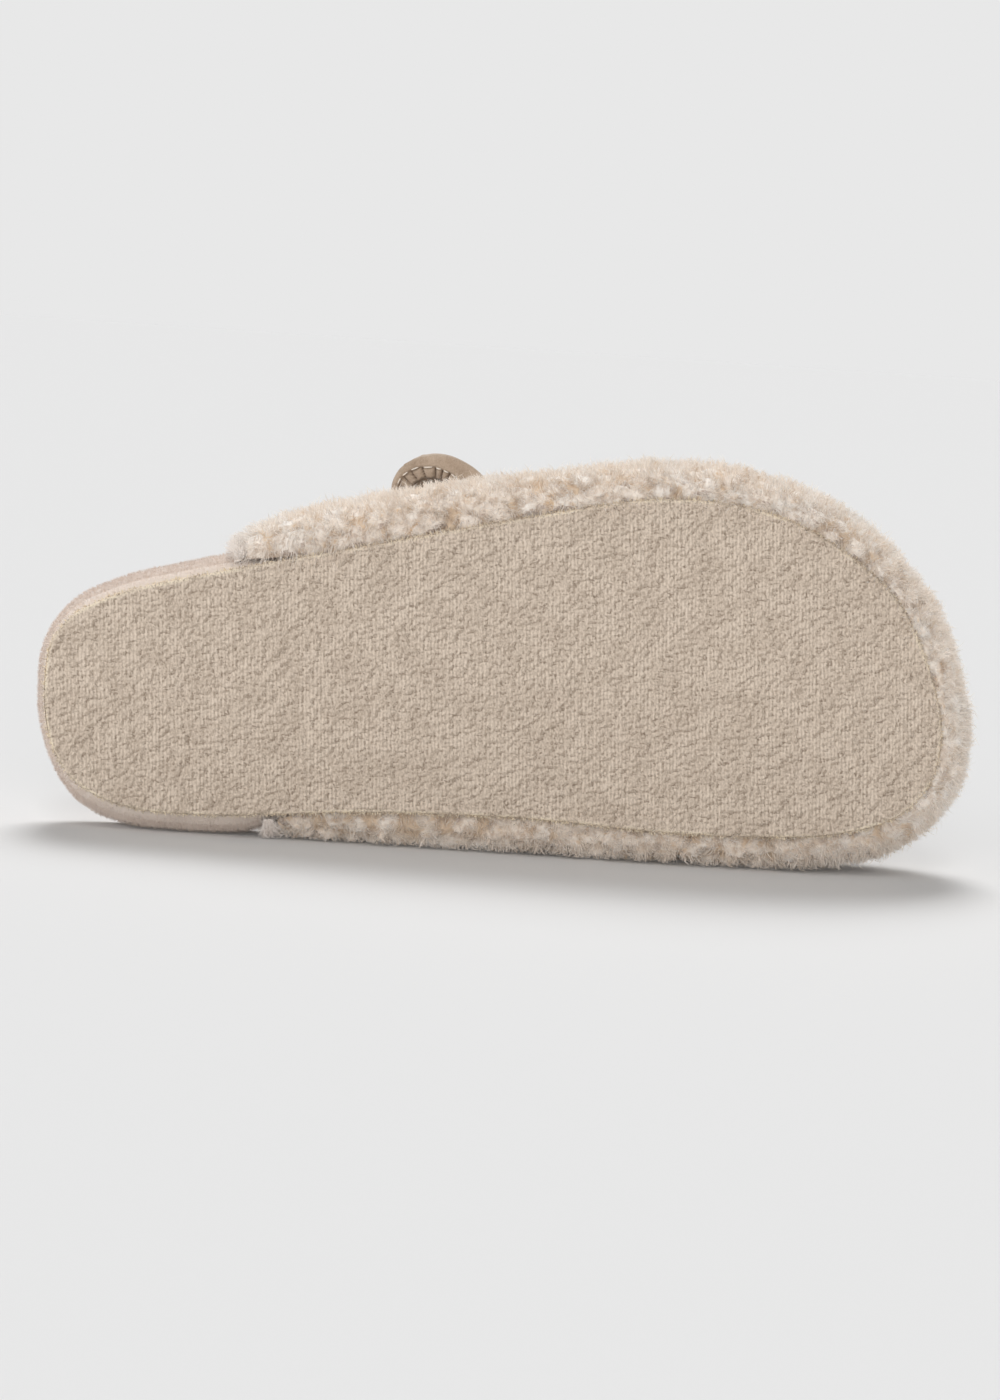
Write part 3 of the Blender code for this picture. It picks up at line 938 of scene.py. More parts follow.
@dataclass(frozen=True)
class Pile:
    """How fibres grow: as tapered ribbons that lean together in tufts and curl round their middles."""

    height: float
    width: float
    gather: float = 0.0
    curl: float = 0.0
    lean: float = 0.0
    stray_share: float = 0.0
    stray_reach: float = 1.6
    stray_gather: float = 0.2
    reach_spread: Span = (0.75, 1.15)
    gather_spread: Span = (0.6, 1.2)
    gather_power: float = 1.3
    width_spread: Span = (0.7, 1.3)
    nap_spread: Span = (0.4, 1.2)
    steps: tuple[float, ...] = (0.0, 0.6, 1.0)
    rises: tuple[float, ...] = (-0.15, 0.72, 1.0)
    tapers: tuple[float, ...] = (1.0, 0.8)

    def grow(
        self, roots: Array, out: Array, middles: Array, turns: Array, tall: Array, rng: np.random.Generator
    ) -> tuple[Array, Array, Array]:
        """Grows one fibre from each root.

        Args:
            roots: where the fibres start.
            out: outward directions there.
            middles: the middle of each root's tuft.
            turns: which way and how far each root's tuft curls, -1 to 1.
            tall: each fibre's share of the full height.
            rng: the source of random numbers.

        Returns:
            The points, the triangles, and each point's share of the way from root to tip.
        """
        count = len(roots)
        away = roots - middles
        away -= out * np.sum(away * out, axis=1, keepdims=True)
        swing = np.cross(out, away)
        stray = rng.random(count) < self.stray_share
        reach = self.height * tall * rng.uniform(*self.reach_spread, count)
        reach = reach * np.where(stray, self.stray_reach, 1.0)
        aside = unit(np.cross(out, rng.normal(size=(count, 3)))) * self.lean
        gather = np.where(stray, self.stray_gather, 1.0) * self.gather
        gather = gather * rng.uniform(*self.gather_spread, count)
        line = []
        for step, rise in zip(self.steps, self.rises):
            turn = (turns * self.curl * step)[:, None]
            drawn = (1.0 - gather * step**self.gather_power)[:, None]
            spun = (away * np.cos(turn) + swing * np.sin(turn)) * drawn
            line.append(roots - away + spun + (out * rise + aside * step**2) * reach[:, None])
        line = np.stack(line, axis=1)
        ahead = unit(np.gradient(line, axis=1))
        across = unit(np.cross(ahead, rng.normal(size=(count, 1, 3)))) * self.width / 2
        across *= rng.uniform(*self.width_spread, (count, 1, 1))
        pairs = len(self.tapers)
        half = across[:, :pairs] * np.array(self.tapers)[None, :, None]
        sides = np.stack([line[:, :pairs] - half, line[:, :pairs] + half], axis=2)
        points = np.concatenate([sides.reshape(count, -1, 3), line[:, -1:]], axis=1)
        size = points.shape[1]
        pattern = []
        for pair in range(pairs - 1):
            base = 2 * pair
            pattern += [(base, base + 1, base + 3), (base, base + 3, base + 2)]
        pattern.append((size - 3, size - 2, size - 1))
        faces = (np.arange(count) * size)[:, None, None] + np.array(pattern)[None]
        shares = np.repeat(np.array(self.steps), 2)[: size - 1].tolist() + [1.0]
        return points.reshape(-1, 3), faces.reshape(-1, 3), np.tile(shares, count)

    def points_a_fibre(self) -> int:
        """How many points one fibre has."""
        return 2 * len(self.tapers) + 1

    def nap(
        self, name: str, mesh: bpy.types.Mesh, wanted: Array, count: int, lowest: float, seed: int
    ) -> tuple[bpy.types.Mesh, Array]:
        """Grows a short nap on a mesh.

        Args:
            name: the new mesh's name.
            mesh: the mesh that it grows on.
            wanted: how thickly each of its triangles is covered.
            count: how many fibres there are.
            lowest: the height that they keep above the floor.
            seed: for the random numbers.

        Returns:
            The fibres' mesh, and where they start.
        """
        rng = np.random.default_rng(seed)
        roots, out = scatter(mesh, wanted, count, rng)
        tall = rng.uniform(*self.nap_spread, count)
        points, faces, tips = self.grow(roots, out, roots, np.zeros(count), tall, rng)
        points[:, 2] = np.maximum(points[:, 2], lowest)
        made = mesh_from(name, points, faces)
        bake_cells(made, count, tips, faces)
        return made, roots


def bake_cells(mesh: bpy.types.Mesh, fibres: int, tips: Array, faces: Array) -> None:
    """Gives each fibre a cell of its own on a flat map, root at the bottom and tip at the top.

    Args:
        mesh: the joined fibres.
        fibres: how many there are.
        tips: each point's share of the way from root to tip.
        faces: the triangles.
    """
    side = int(np.ceil(np.sqrt(fibres)))
    size = len(mesh.vertices) // fibres
    corner = faces.ravel()
    fibre, spot = corner // size, corner % size
    across = np.where(spot == size - 1, 0.5, np.where(spot % 2 == 0, CELL_MARGIN, 1.0 - CELL_MARGIN))
    above = CELL_MARGIN + (1.0 - 2.0 * CELL_MARGIN) * tips[corner]
    flat = np.stack([fibre % side + across, fibre // side + above], axis=1) / side
    mesh.uv_layers.new(name=BAKE_MAP).data.foreach_set("uv", flat.astype(np.float32).ravel())


def scatter(
    mesh: bpy.types.Mesh, wanted: Array, count: int, rng: np.random.Generator
) -> tuple[Array, Array]:
    """Spreads places evenly over some triangles of a mesh.

    Args:
        mesh: the mesh.
        wanted: how thickly each triangle is covered, 0 for not at all.
        count: how many places there are.
        rng: the source of random numbers.

    Returns:
        The places and the outward directions there.
    """
    corners = corners_of(mesh)
    points, normals = places_of(mesh), normals_of(mesh)
    first, second, third = (points[corners[:, index]] for index in range(3))
    weights = np.linalg.norm(np.cross(second - first, third - first), axis=1) * wanted
    chosen = rng.choice(len(corners), size=count, p=weights / weights.sum())
    one, two = rng.random((2, count))
    fold = one + two > 1
    one, two = np.where(fold, 1 - one, one), np.where(fold, 1 - two, two)
    shares = np.stack([1 - one - two, one, two], axis=1)[:, :, None]
    picked = corners[chosen]
    return (points[picked] * shares).sum(axis=1), unit((normals[picked] * shares).sum(axis=1))


def nearest(places: Array, middles: Array) -> Array:
    """The number of the nearest middle to each place."""
    tree = tree_of(middles)
    return np.array([tree.find(place)[1] for place in places.tolist()])


@dataclass
class KnitSole:
    """The knit-faced outsole: a crinkled sheet with a rounded cut edge and loose loops along it."""

    shop: Workshop
    finish: bpy.types.Material
    rows: int = 430
    columns: int = 192
    curve_steps: int = 12
    edge_crowd: float = 0.45
    thick: float = 0.0030
    wall_share: float = 0.85
    back_inset: float = 0.0004
    edge_round: float = 0.0009
    edge_height: float = 0.0006
    edge_slack: float = 0.0001
    sole_length: float = SOLE_LENGTH
    spring_start: float = 0.190
    toe_spring: float = 0.004
    warp_size: float = 0.0035
    warp_shifts: Span = (3.1, 8.7)
    warp_reach: float = 0.0009
    nub_stretch: Triple = (0.78, 1.12, 1.0)
    nub_size: float = 0.0023
    nub_shift: float = 1.3
    nub_height: float = 0.0006
    nub_start: float = 0.0012
    swell_sizes: Span = (0.0024, 0.0052)
    swell_shifts: Span = (55.0, 70.0)
    swell_shares: Span = (0.8, 0.7)
    swell_depth: float = 0.00016
    pale_band: Span = (0.0004, 0.0013)
    loops: int = 3400
    loop_pale: float = 2.5
    loop_levels: Span = (0.0003, 0.0018)
    loop_inset: float = 0.0002
    loop_dip: Span = (-0.35, 0.45)
    loop_toss: Triple = (0.5, 0.5, 0.1)
    loop_spread: Span = (0.4, 1.1)
    loop_seed: int = 11
    loop: Pile = Pile(height=0.0012, width=0.0003, lean=0.5)

    def spring(self, along: Array) -> Array:
        """How far the toe end rises off the sole's plane."""
        ahead = np.maximum(along - self.spring_start, 0.0) / (self.sole_length - self.spring_start)
        return self.toe_spring * ahead**2

    def sides(self) -> tuple[Array, Array]:
        """The sole's edge as two even runs of points.

        Returns:
            The inner and the outer side, each from heel to toe.
        """
        points = self.shop.points("outsole")
        rise = points[:, 2] - self.spring(points[:, 0])
        ring = points[np.abs(rise - self.edge_height) < self.edge_slack][:, :2]
        middle = ring.mean(axis=0)
        ring = ring[np.argsort(np.arctan2(ring[:, 1] - middle[1], ring[:, 0] - middle[0]))]
        ring = np.roll(ring, -np.argmin(ring[:, 0]), axis=0)
        toe = np.argmax(ring[:, 0])
        runs = ring[: toe + 1], np.concatenate([ring[toe:], ring[:1]])[::-1]
        even = [self.even_run(run) for run in runs]
        return (even[0], even[1]) if even[0][:, 1].mean() > even[1][:, 1].mean() else (even[1], even[0])

    def even_run(self, run: Array) -> Array:
        """Smooths a run of points and spaces it evenly.

        Args:
            run: points in the sole's plane.

        Returns:
            As many even points as the sole has rows, and one more.
        """
        padded = np.concatenate([2 * run[:1] - run[1:2], run, 2 * run[-1:] - run[-2:-1]])
        share = np.linspace(0, 1, self.curve_steps, endpoint=False)[:, None]
        curve = []
        for a, b, c, d in zip(padded, padded[1:], padded[2:], padded[3:]):
            bend = (2 * a - 5 * b + 4 * c - d) * share**2 + (3 * b - a - 3 * c + d) * share**3
            curve.append(b + 0.5 * ((c - a) * share + bend))
        curve = np.concatenate([*curve, run[-1:]])
        reach = np.concatenate([[0.0], np.cumsum(np.linalg.norm(np.diff(curve, axis=0), axis=1))])
        even = np.linspace(0, reach[-1], self.rows + 1)
        return np.stack([np.interp(even, reach, curve[:, axis]) for axis in (0, 1)], axis=1)

    def relief(self, flat: Array) -> Array:
        """The soft nubs of the brushed knit.

        Args:
            flat: places in the sole's plane.

        Returns:
            How far each place stands out.
        """
        places = np.concatenate([flat, np.zeros((len(flat), 1))], axis=1)
        warp = np.stack([ripple(places, self.warp_size, shift) for shift in self.warp_shifts], axis=1)
        places[:, :2] += warp * self.warp_reach
        drawn = places * np.array(self.nub_stretch)
        nubs = np.abs(ripple(drawn, self.nub_size, self.nub_shift))
        swells = zip(self.swell_sizes, self.swell_shifts)
        fine, broad = (ripple(drawn, size, shift) for size, shift in swells)
        swell = fine * self.swell_shares[0] + broad * self.swell_shares[1]
        return swell * self.swell_depth + nubs * self.nub_height

    def front_grid(self) -> tuple[Array, Array]:
        """Lays rows of places across the sole, closer together near its edge.

        Returns:
            The places in the sole's plane by row and column, and the sole's ends at heel and toe.
        """
        inner, outer = self.sides()
        share = np.linspace(0, 1, self.columns + 1)
        share = (share - self.edge_crowd * np.sin(tau * share) / tau)[None, :, None]
        grid = inner[1:-1, None] * (1 - share) + outer[1:-1, None] * share
        return grid, np.stack([inner[0], inner[-1]])

    def front_height(self, flat: Array, inset: Array) -> Array:
        """How the face lies: rounded off at its edge, nubbed inside it and raised at the toe.

        Args:
            flat: places in the sole's plane.
            inset: how far they lie inside the edge.

        Returns:
            Their heights in the slipper's axes.
        """
        past = np.maximum(self.edge_round - inset, 0.0)
        height = self.edge_round - np.sqrt(np.maximum(self.edge_round**2 - past**2, 0.0))
        return height - self.relief(flat) * ease(0.0, self.nub_start, inset) + self.spring(flat[:, 0])

    def front_faces(self, rows: int) -> tuple[list[Array], Array]:
        """Joins the face's rows, and its ends to the first and the last of them.

        Args:
            rows: how many rows there are.

        Returns:
            The triangles in blocks, and the numbers of the places round the edge, the heel's end first.
        """
        count = self.columns + 1
        heel, toe = rows * count, rows * count + 1
        first = (np.arange(rows - 1)[:, None] * count + np.arange(count - 1)[None]).ravel()
        faces = quads(first, first + 1, first + count + 1, first + count)
        for tip, row, flip in ((heel, 0, True), (toe, rows - 1, False)):
            start = row * count + np.arange(count - 1)
            fan = np.column_stack([np.full(count - 1, tip), start, start + 1])
            faces.append(fan[:, ::-1] if flip else fan)
        starts = np.arange(rows) * count
        return faces, np.concatenate([[heel], starts, [toe], (starts + count - 1)[::-1]])

    def outward(self, edge: Array) -> Array:
        """The directions out of the sole along its edge.

        Args:
            edge: the edge's places in the sole's plane.

        Returns:
            Directions in that plane.
        """
        way = unit(np.roll(edge, -1, axis=0) - np.roll(edge, 1, axis=0))
        out = np.stack([way[:, 1], -way[:, 0]], axis=1)
        return out * np.sign(np.sum(out * (edge - edge.mean(axis=0)), axis=1))[:, None]

    def build(self) -> None:
        """Makes the sheet and its loose edge loops."""
        grid, tips = self.front_grid()
        rows = len(grid)
        flat = np.concatenate([grid.reshape(-1, 2), tips])
        edge = np.concatenate([tips[:1], grid[:, 0], tips[1:], grid[::-1, -1]])
        out = self.outward(edge)
        border = tree_of(np.column_stack([edge, np.zeros(len(edge))]))
        inset = np.array([border.find((*spot, 0.0))[2] for spot in flat.tolist()])
        points = [np.column_stack([flat, self.front_height(flat, inset)])]
        faces, ring = self.front_faces(rows)
        for shift, level in ((0.0, self.thick * self.wall_share), (-self.back_inset, self.thick)):
            spots = edge + out * shift
            upper = sum(len(block) for block in points) + np.arange(len(edge))
            points.append(np.column_stack([spots, level + self.spring(spots[:, 0])]))
            faces += quads(ring, np.roll(ring, -1), np.roll(upper, -1), upper)
            ring = upper
        left, right = ring[1 : rows + 1], ring[rows + 2 :][::-1]
        faces += quads(left[:-1], left[1:], right[1:], right[:-1])
        faces.append(np.array([[ring[0], left[0], right[0]], [ring[rows + 1], right[-1], left[-1]]]))
        places = self.shop.axes.to_world(np.concatenate(points))
        mesh = mesh_from("outsole_knit", places, np.concatenate(faces))
        pale = 1.0 - ease(*self.pale_band, inset)
        hold(mesh, "edge", np.concatenate([pale, np.ones(len(places) - len(flat))]))
        work = bmesh.new()
        work.from_mesh(mesh)
        bmesh.ops.recalc_face_normals(work, faces=work.faces)
        work.to_mesh(mesh)
        work.free()
        self.shop.piece("outsole_knit", mesh, [self.finish], Slot.KNIT, ("outsole",))
        self.build_loops(edge, out)

    def build_loops(self, edge: Array, out: Array) -> None:
        """Makes the loose ends of yarn along the cut edge.

        Args:
            edge: the sole's edge.
            out: outward directions in the sole's plane.
        """
        rng = np.random.default_rng(self.loop_seed)
        chosen = rng.integers(0, len(edge), self.loops)
        level = rng.uniform(*self.loop_levels, self.loops)
        spots = edge[chosen] - out[chosen] * self.loop_inset
        roots = np.column_stack([spots, level + self.spring(spots[:, 0])])
        ways = np.column_stack([out[chosen], rng.normal(*self.loop_dip, self.loops)])
        ways += rng.normal(size=ways.shape) * np.array(self.loop_toss)
        axes = self.shop.axes
        places, outward = axes.to_world(roots), axes.way_to_world(unit(ways))
        tall = rng.uniform(*self.loop_spread, self.loops)
        points, faces, tips = self.loop.grow(places, outward, places, np.zeros(self.loops), tall, rng)
        mesh = mesh_from("outsole_loops", points, faces)
        hold(mesh, "edge", np.full(len(points), self.loop_pale))
        bake_cells(mesh, self.loops, tips, faces)
        self.shop.piece("outsole_loops", mesh, [self.finish], Slot.KNIT)


@dataclass
class SherpaUpper:
    """The hollow upper: a shell of soft curly puffs with a plain lining, and fine pile over the puffs."""

    shop: Workshop
    sherpa: bpy.types.Material
    lining: bpy.types.Material
    pieces: int = 2
    fibres_a_piece: int = 64_000
    seed: int = 5
    toe_ahead: float = 0.03
    toe_run: Span = (0.19, 0.24)
    tuft_spacing: float = 0.0056
    tuft_samples: int = 12
    even_rounds: int = 2
    dome_share: float = 0.66
    puff_height: float = 0.0019
    puff_spread: Span = (0.55, 1.1)
    puff_sink: float = 0.0004
    puff_room: float = 0.4
    floor_press: float = 0.5
    press_heights: Span = (0.010, 0.030)
    low_sink: float = 0.0022
    low_heights: Span = (0.002, 0.007)
    bend_size: float = 0.0026
    bend_shifts: Triple = (11.0, 23.0, 37.0)
    bend_reach: float = 0.0017
    foot_heights: Span = (0.004, 0.012)
    foot_lean: float = 0.0022
    foot_draw: float = 0.0012
    corner_draw: float = 3.0
    corner_run: Span = (0.068, 0.100)
    middle_run: Span = (0.06, 0.20)
    lean_spread: Span = (0.15, 1.25)
    collar_reach: float = 0.008
    collar_lean: float = 0.0034
    grain_size: float = 0.0016
    grain_shift: float = 5.0
    grain_height: float = 0.0005
    gap_tall: float = 0.8
    dome_tall: float = 0.2
    pile_room: float = 0.5
    root_tip: float = 0.8
    gap_tip: float = 0.35
    dome_tip: float = 0.65
    lock_size: float = 0.0010
    lock_shift: float = 17.0
    lock_swing: float = 0.6
    lock_stray: float = 0.2
    axis_height: float = 0.021
    strap_reach: float = 0.006
    ray_start: float = 0.001
    floor_clear: float = 0.0003
    tip_clear: float = 0.0003
    pile: Pile = Pile(height=0.0025, width=0.00018, gather=0.15, curl=0.8, lean=0.65, stray_share=0.06)

    def outside(self, places: Array, ways: Array) -> Array:
        """Whether places lie on the outer skin.

        Args:
            places: places on the shell, in the frame.
            ways: outward directions there, in the frame.

        Returns:
            One truth a place.
        """
        spots = self.shop.axes.to_shoe(places)
        ways = self.shop.axes.way_to_shoe(ways)
        ahead = self.toe_ahead * ease(*self.toe_run, spots[:, 0])
        from_axis = np.column_stack([ahead, spots[:, 1], spots[:, 2] - self.axis_height])
        return np.sum(from_axis * ways, axis=1) > 0

    def shell(self) -> bpy.types.Mesh:
        """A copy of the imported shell, divided once more on its outer skin.

        Returns:
            The new mesh, in the frame.
        """
        mesh = self.shop.dense("upper", 2)
        work = bmesh.new()
        work.from_mesh(mesh)
        middles = np.array([face.calc_center_median() for face in work.faces])
        outer = self.outside(middles, np.array([face.normal for face in work.faces]))
        edges = {edge for face, held in zip(work.faces, outer) if held for edge in face.edges}
        split_edges(mesh, work, list(edges), 1)
        return mesh

    def build(self) -> None:
        """Makes the puffed shell and grows its pile."""
        rng = np.random.default_rng(self.seed)
        mesh = self.shell()
        places, ways = places_of(mesh), normals_of(mesh)
        outer = self.outside(places, ways)
        corners = corners_of(mesh)
        wanted = self.outside(places[corners].mean(axis=1), ways[corners].mean(axis=1)).astype(float)
        middles = self.tufts(mesh, wanted, rng)
        shades, heights = rng.random(len(middles)), rng.uniform(*self.puff_spread, len(middles))
        whose, dome = self.domes(places, middles)
        strap = self.shop.tree("strap")
        room = np.array([self.room(strap, place, way) for place, way in zip(places, ways)])
        free = 1.0 - self.floor_press * (1.0 - ease(*self.press_heights, places[:, 2]))
        puff = self.puff_height * free * heights[whose] * ease(0.0, 1.0, dome)
        rise = np.minimum(puff - self.puff_sink, self.puff_room * room)
        rise = rise + ripple(places, self.grain_size, self.grain_shift) * self.grain_height
        rise = rise - self.low_sink * (1.0 - dome) * (1.0 - ease(*self.low_heights, places[:, 2]))
        places = places + ways * np.where(outer, rise, 0.0)[:, None]
        places[:, 2] = np.maximum(places[:, 2], self.floor_clear)
        move_points(mesh, places)
        hold(mesh, "tip", dome * self.root_tip)
        hold(mesh, "own", shades[whose])
        hold(mesh, "foot", self.at_foot(self.shop.axes.to_shoe(places)))
        self.shop.piece("sherpa_shell", mesh, [self.sherpa, self.lining], Slot.SHERPA, ("upper",))
        centres = np.array([polygon.center for polygon in mesh.polygons])
        facing = np.array([polygon.normal for polygon in mesh.polygons])
        inside = ~self.outside(centres, facing)
        mesh.polygons.foreach_set("material_index", inside.astype(np.int32))
        for piece in range(self.pieces):
            self.grow_pile(f"sherpa_pile_{piece + 1}", mesh, wanted, middles, shades, strap, rng)

    def tufts(self, mesh: bpy.types.Mesh, wanted: Array, rng: np.random.Generator) -> Array:
        """Evenly spread middles of the tufts.

        Args:
            mesh: the shell.
            wanted: which of its triangles have tufts.
            rng: the source of random numbers.

        Returns:
            The middles.
        """
        points = places_of(mesh)
        first, second, third = (points[corner] for corner in corners_of(mesh).T)
        area = (np.linalg.norm(np.cross(second - first, third - first), axis=1) * wanted).sum() / 2
        count = int(area / self.tuft_spacing**2)
        middles, _ = scatter(mesh, wanted, count, rng)
        spread, _ = scatter(mesh, wanted, self.tuft_samples * count, rng)
        for _ in range(self.even_rounds):
            whose = nearest(spread, middles)
            held = np.maximum(np.bincount(whose, minlength=count), 1)[:, None]
            sums = np.stack([np.bincount(whose, spread[:, axis], count) for axis in range(3)], axis=1)
            middles = np.where(np.bincount(whose, minlength=count)[:, None] > 0, sums / held, middles)
        return middles

    def domes(self, places: Array, middles: Array) -> tuple[Array, Array]:
        """Which tuft each place belongs to, and how high it lies on its dome.

        Args:
            places: the places.
            middles: the tufts' middles.

        Returns:
            The tufts' numbers, and shares of 0 in a gap to 1 at the top.
        """
        bends = np.stack([ripple(places, self.bend_size, shift) for shift in self.bend_shifts], axis=1)
        bent = places + bends * self.bend_reach
        whose = nearest(bent, middles)
        away = np.linalg.norm(bent - middles[whose], axis=1) / (self.dome_share * self.tuft_spacing)
        return whose, np.clip(1.0 - away**2, 0.0, 1.0)

    def grow_pile(
        self,
        name: str,
        mesh: bpy.types.Mesh,
        wanted: Array,
        middles: Array,
        shades: Array,
        strap: BVHTree,
        rng: np.random.Generator,
    ) -> None:
        """Grows one piece of the fine pile.

        Args:
            name: the piece's name.
            mesh: the puffed shell.
            wanted: which of its triangles have pile.
            middles: the tufts' middles.
            shades: each tuft's own shade.
            strap: the strap to cast rays at.
            rng: the source of random numbers.
        """
        roots, out = scatter(mesh, wanted, self.fibres_a_piece, rng)
        whose, dome = self.domes(roots, middles)
        room = np.array([self.room(strap, root, way) for root, way in zip(roots, out)])
        tall = self.gap_tall + self.dome_tall * dome
        tall = np.minimum(tall, self.pile_room * room / self.pile.height)
        turns = np.where(whose % 2 == 0, 1.0, -1.0)
        made, faces, tips = self.pile.grow(roots, out, middles[whose], turns, tall, rng)
        size = self.pile.points_a_fibre()
        spots = self.shop.axes.to_shoe(roots)
        foot = self.at_foot(spots)
        corner = 1.0 + self.corner_draw * (1.0 - ease(*self.corner_run, spots[:, 0]))
        down = self.shop.axes.way_to_world(np.array([0.0, 0.0, -self.foot_lean]))
        along = np.clip(spots[:, 0], *self.middle_run)
        centres = np.column_stack([along, np.zeros(len(spots)), spots[:, 2]])
        inward = unit(centres - spots) * (self.foot_draw * corner)[:, None]
        lean = foot[:, None] * (down + self.shop.axes.way_to_world(inward)) + self.to_collar(roots)
        lean = lean * rng.uniform(*self.lean_spread, (len(roots), 1))
        made = made + np.repeat(lean, size, axis=0) * tips[:, None] ** 2
        made[:, 2] = np.maximum(made[:, 2], self.floor_clear + self.tip_clear * tips)
        pile = mesh_from(name, made, faces)
        at_root = np.repeat(dome * self.root_tip, size)
        at_tip = np.repeat(self.gap_tip + self.dome_tip * dome, size)
        hold(pile, "tip", at_root * (1 - tips) + at_tip * tips)
        hold(pile, "own", np.repeat(shades[whose], size))
        lock = 0.5 + self.lock_swing * ripple(roots, self.lock_size, self.lock_shift)
        lock = lock + rng.uniform(-self.lock_stray, self.lock_stray, len(roots))
        hold(pile, "strand", np.repeat(np.clip(lock, 0.0, 1.0), size))
        hold(pile, "foot", np.repeat(foot, size))
        bake_cells(pile, len(roots), tips, faces)
        self.shop.piece(name, pile, [self.sherpa], Slot.SHERPA)

    def at_foot(self, spots: Array) -> Array:
        """How near places are to the sole's edge, 1 beside it, from the slipper's own places."""
        return 1.0 - ease(*self.foot_heights, spots[:, 2])

    def to_collar(self, roots: Array) -> Array:
        """How fibres beside the collar lean over its seam.

        Args:
            roots: where the fibres start.

        Returns:
            The shift of each fibre's tip.
        """
        collar = self.shop.tree("collar_binding")
        leans = np.zeros_like(roots)
        for index, root in enumerate(roots):
            spot, _, _, gap = collar.find_nearest(Vector(root), self.collar_reach)
            if spot is not None:
                leans[index] = unit(np.array(spot) - root) * (1.0 - gap / self.collar_reach)
        return leans * self.collar_lean

    def room(self, strap: BVHTree, root: Array, way: Array) -> float:
        """How far the strap is above a place.

        Args:
            strap: the strap to cast rays at.
            root: the place.
            way: its outward direction.

        Returns:
            The distance, at most the reach in which the strap counts.
        """
        start = Vector(root - way * self.ray_start)
        _, _, _, gap = strap.ray_cast(start, Vector(way), self.strap_reach)
        return self.strap_reach if gap is None else max(gap - self.ray_start, 0.0)


@dataclass
class HeelBand:
    """The wrapped core under the foot: midsole and footbed in brushed fabric, fuzzy where they show."""

    shop: Workshop
    wrap: bpy.types.Material
    bed: bpy.types.Material
    fuzz_count: int = 12000
    fuzz_end: float = 0.075
    fuzz_limit: float = 0.85
    fuzz_fade: float = 0.001
    pucker_sizes: Span = (0.007, 0.0025)
    pucker_shifts: Span = (2.0, 9.0)
    pucker_stretch: Triple = (1.0, 1.0, 0.4)
    pucker_share: float = 0.4
    pucker_depth: float = 0.00022
    strip_fade: float = 0.0008
    crease_height: float = 0.0068
    crease_width: float = 0.0007
    crease_depth: float = 0.00045
    crease_shade: float = 0.6
    draw_in: float = 0.0009
    draw_end: float = 0.014
    fuzz: Pile = Pile(height=0.0008, width=0.0001, lean=0.8)
    floor_clear: float = 0.0001

    def build(self) -> None:
        """Makes both wrapped layers and their fuzz."""
        for name, node, finish, slot, seed in (
            ("midsole_wrap", "midsole", self.wrap, Slot.BRUSHED, 21),
            ("footbed_cover", "insole", self.bed, Slot.LINING, 22),
        ):
            mesh = self.shop.dense(node, 2)
            places, ways = places_of(mesh), normals_of(mesh)
            spots = self.shop.axes.to_shoe(places)
            drawn = spots * np.array(self.pucker_stretch)
            broad = ripple(drawn, self.pucker_sizes[0], self.pucker_shifts[0])
            fine = ripple(spots, self.pucker_sizes[1], self.pucker_shifts[1])
            pucker = broad + self.pucker_share * fine
            crease = np.exp(-(((spots[:, 2] - self.crease_height) / self.crease_width) ** 2))
            places = places + ways * (pucker * self.pucker_depth - crease * self.crease_depth)[:, None]
            inward = self.draw_in * (1.0 - ease(0.0, self.draw_end, spots[:, 0]))
            places = places + inward[:, None] * self.shop.axes.way_to_world(np.array([1.0, 0.0, 0.0]))
            places[:, 2] = np.maximum(places[:, 2], self.floor_clear)
            move_points(mesh, places)
            # The strip below the crease is paler; at the crease it is painted darker, as painted shade in
            # the crease.
            strip = 1.0 - ease(self.crease_height - self.strip_fade, self.crease_height, spots[:, 2])
            hold(mesh, "strip", strip - self.crease_shade * crease)
            self.shop.piece(name, mesh, [finish], slot, (node,))
            self.grow_fuzz(name + "_fuzz", mesh, finish, slot, seed)

    def grow_fuzz(
        self, name: str, mesh: bpy.types.Mesh, finish: bpy.types.Material, slot: Slot, seed: int
    ) -> None:
        """Grows the short nap where the band shows.

        Args:
            name: the piece's name.
            mesh: the layer that it grows on.
            finish: its material.
            slot: the record's slot.
            seed: for its random numbers.
        """
        axes = self.shop.axes
        corners = corners_of(mesh)
        spots = axes.to_shoe(places_of(mesh)[corners].mean(axis=1))
        ways = axes.way_to_shoe(normals_of(mesh)[corners].mean(axis=1))
        shown = (spots[:, 0] < self.fuzz_end) & (np.abs(ways[:, 2]) < self.fuzz_limit)
        wanted = shown.astype(float)
        nap, roots = self.fuzz.nap(name, mesh, wanted, self.fuzz_count, self.floor_clear, seed)
        height = axes.to_shoe(roots)[:, 2]
        low = 1.0 - ease(self.crease_height - self.fuzz_fade, self.crease_height, height)
        hold(nap, "strip", np.repeat(low, self.fuzz.points_a_fibre()))
        self.shop.piece(name, nap, [finish], slot)


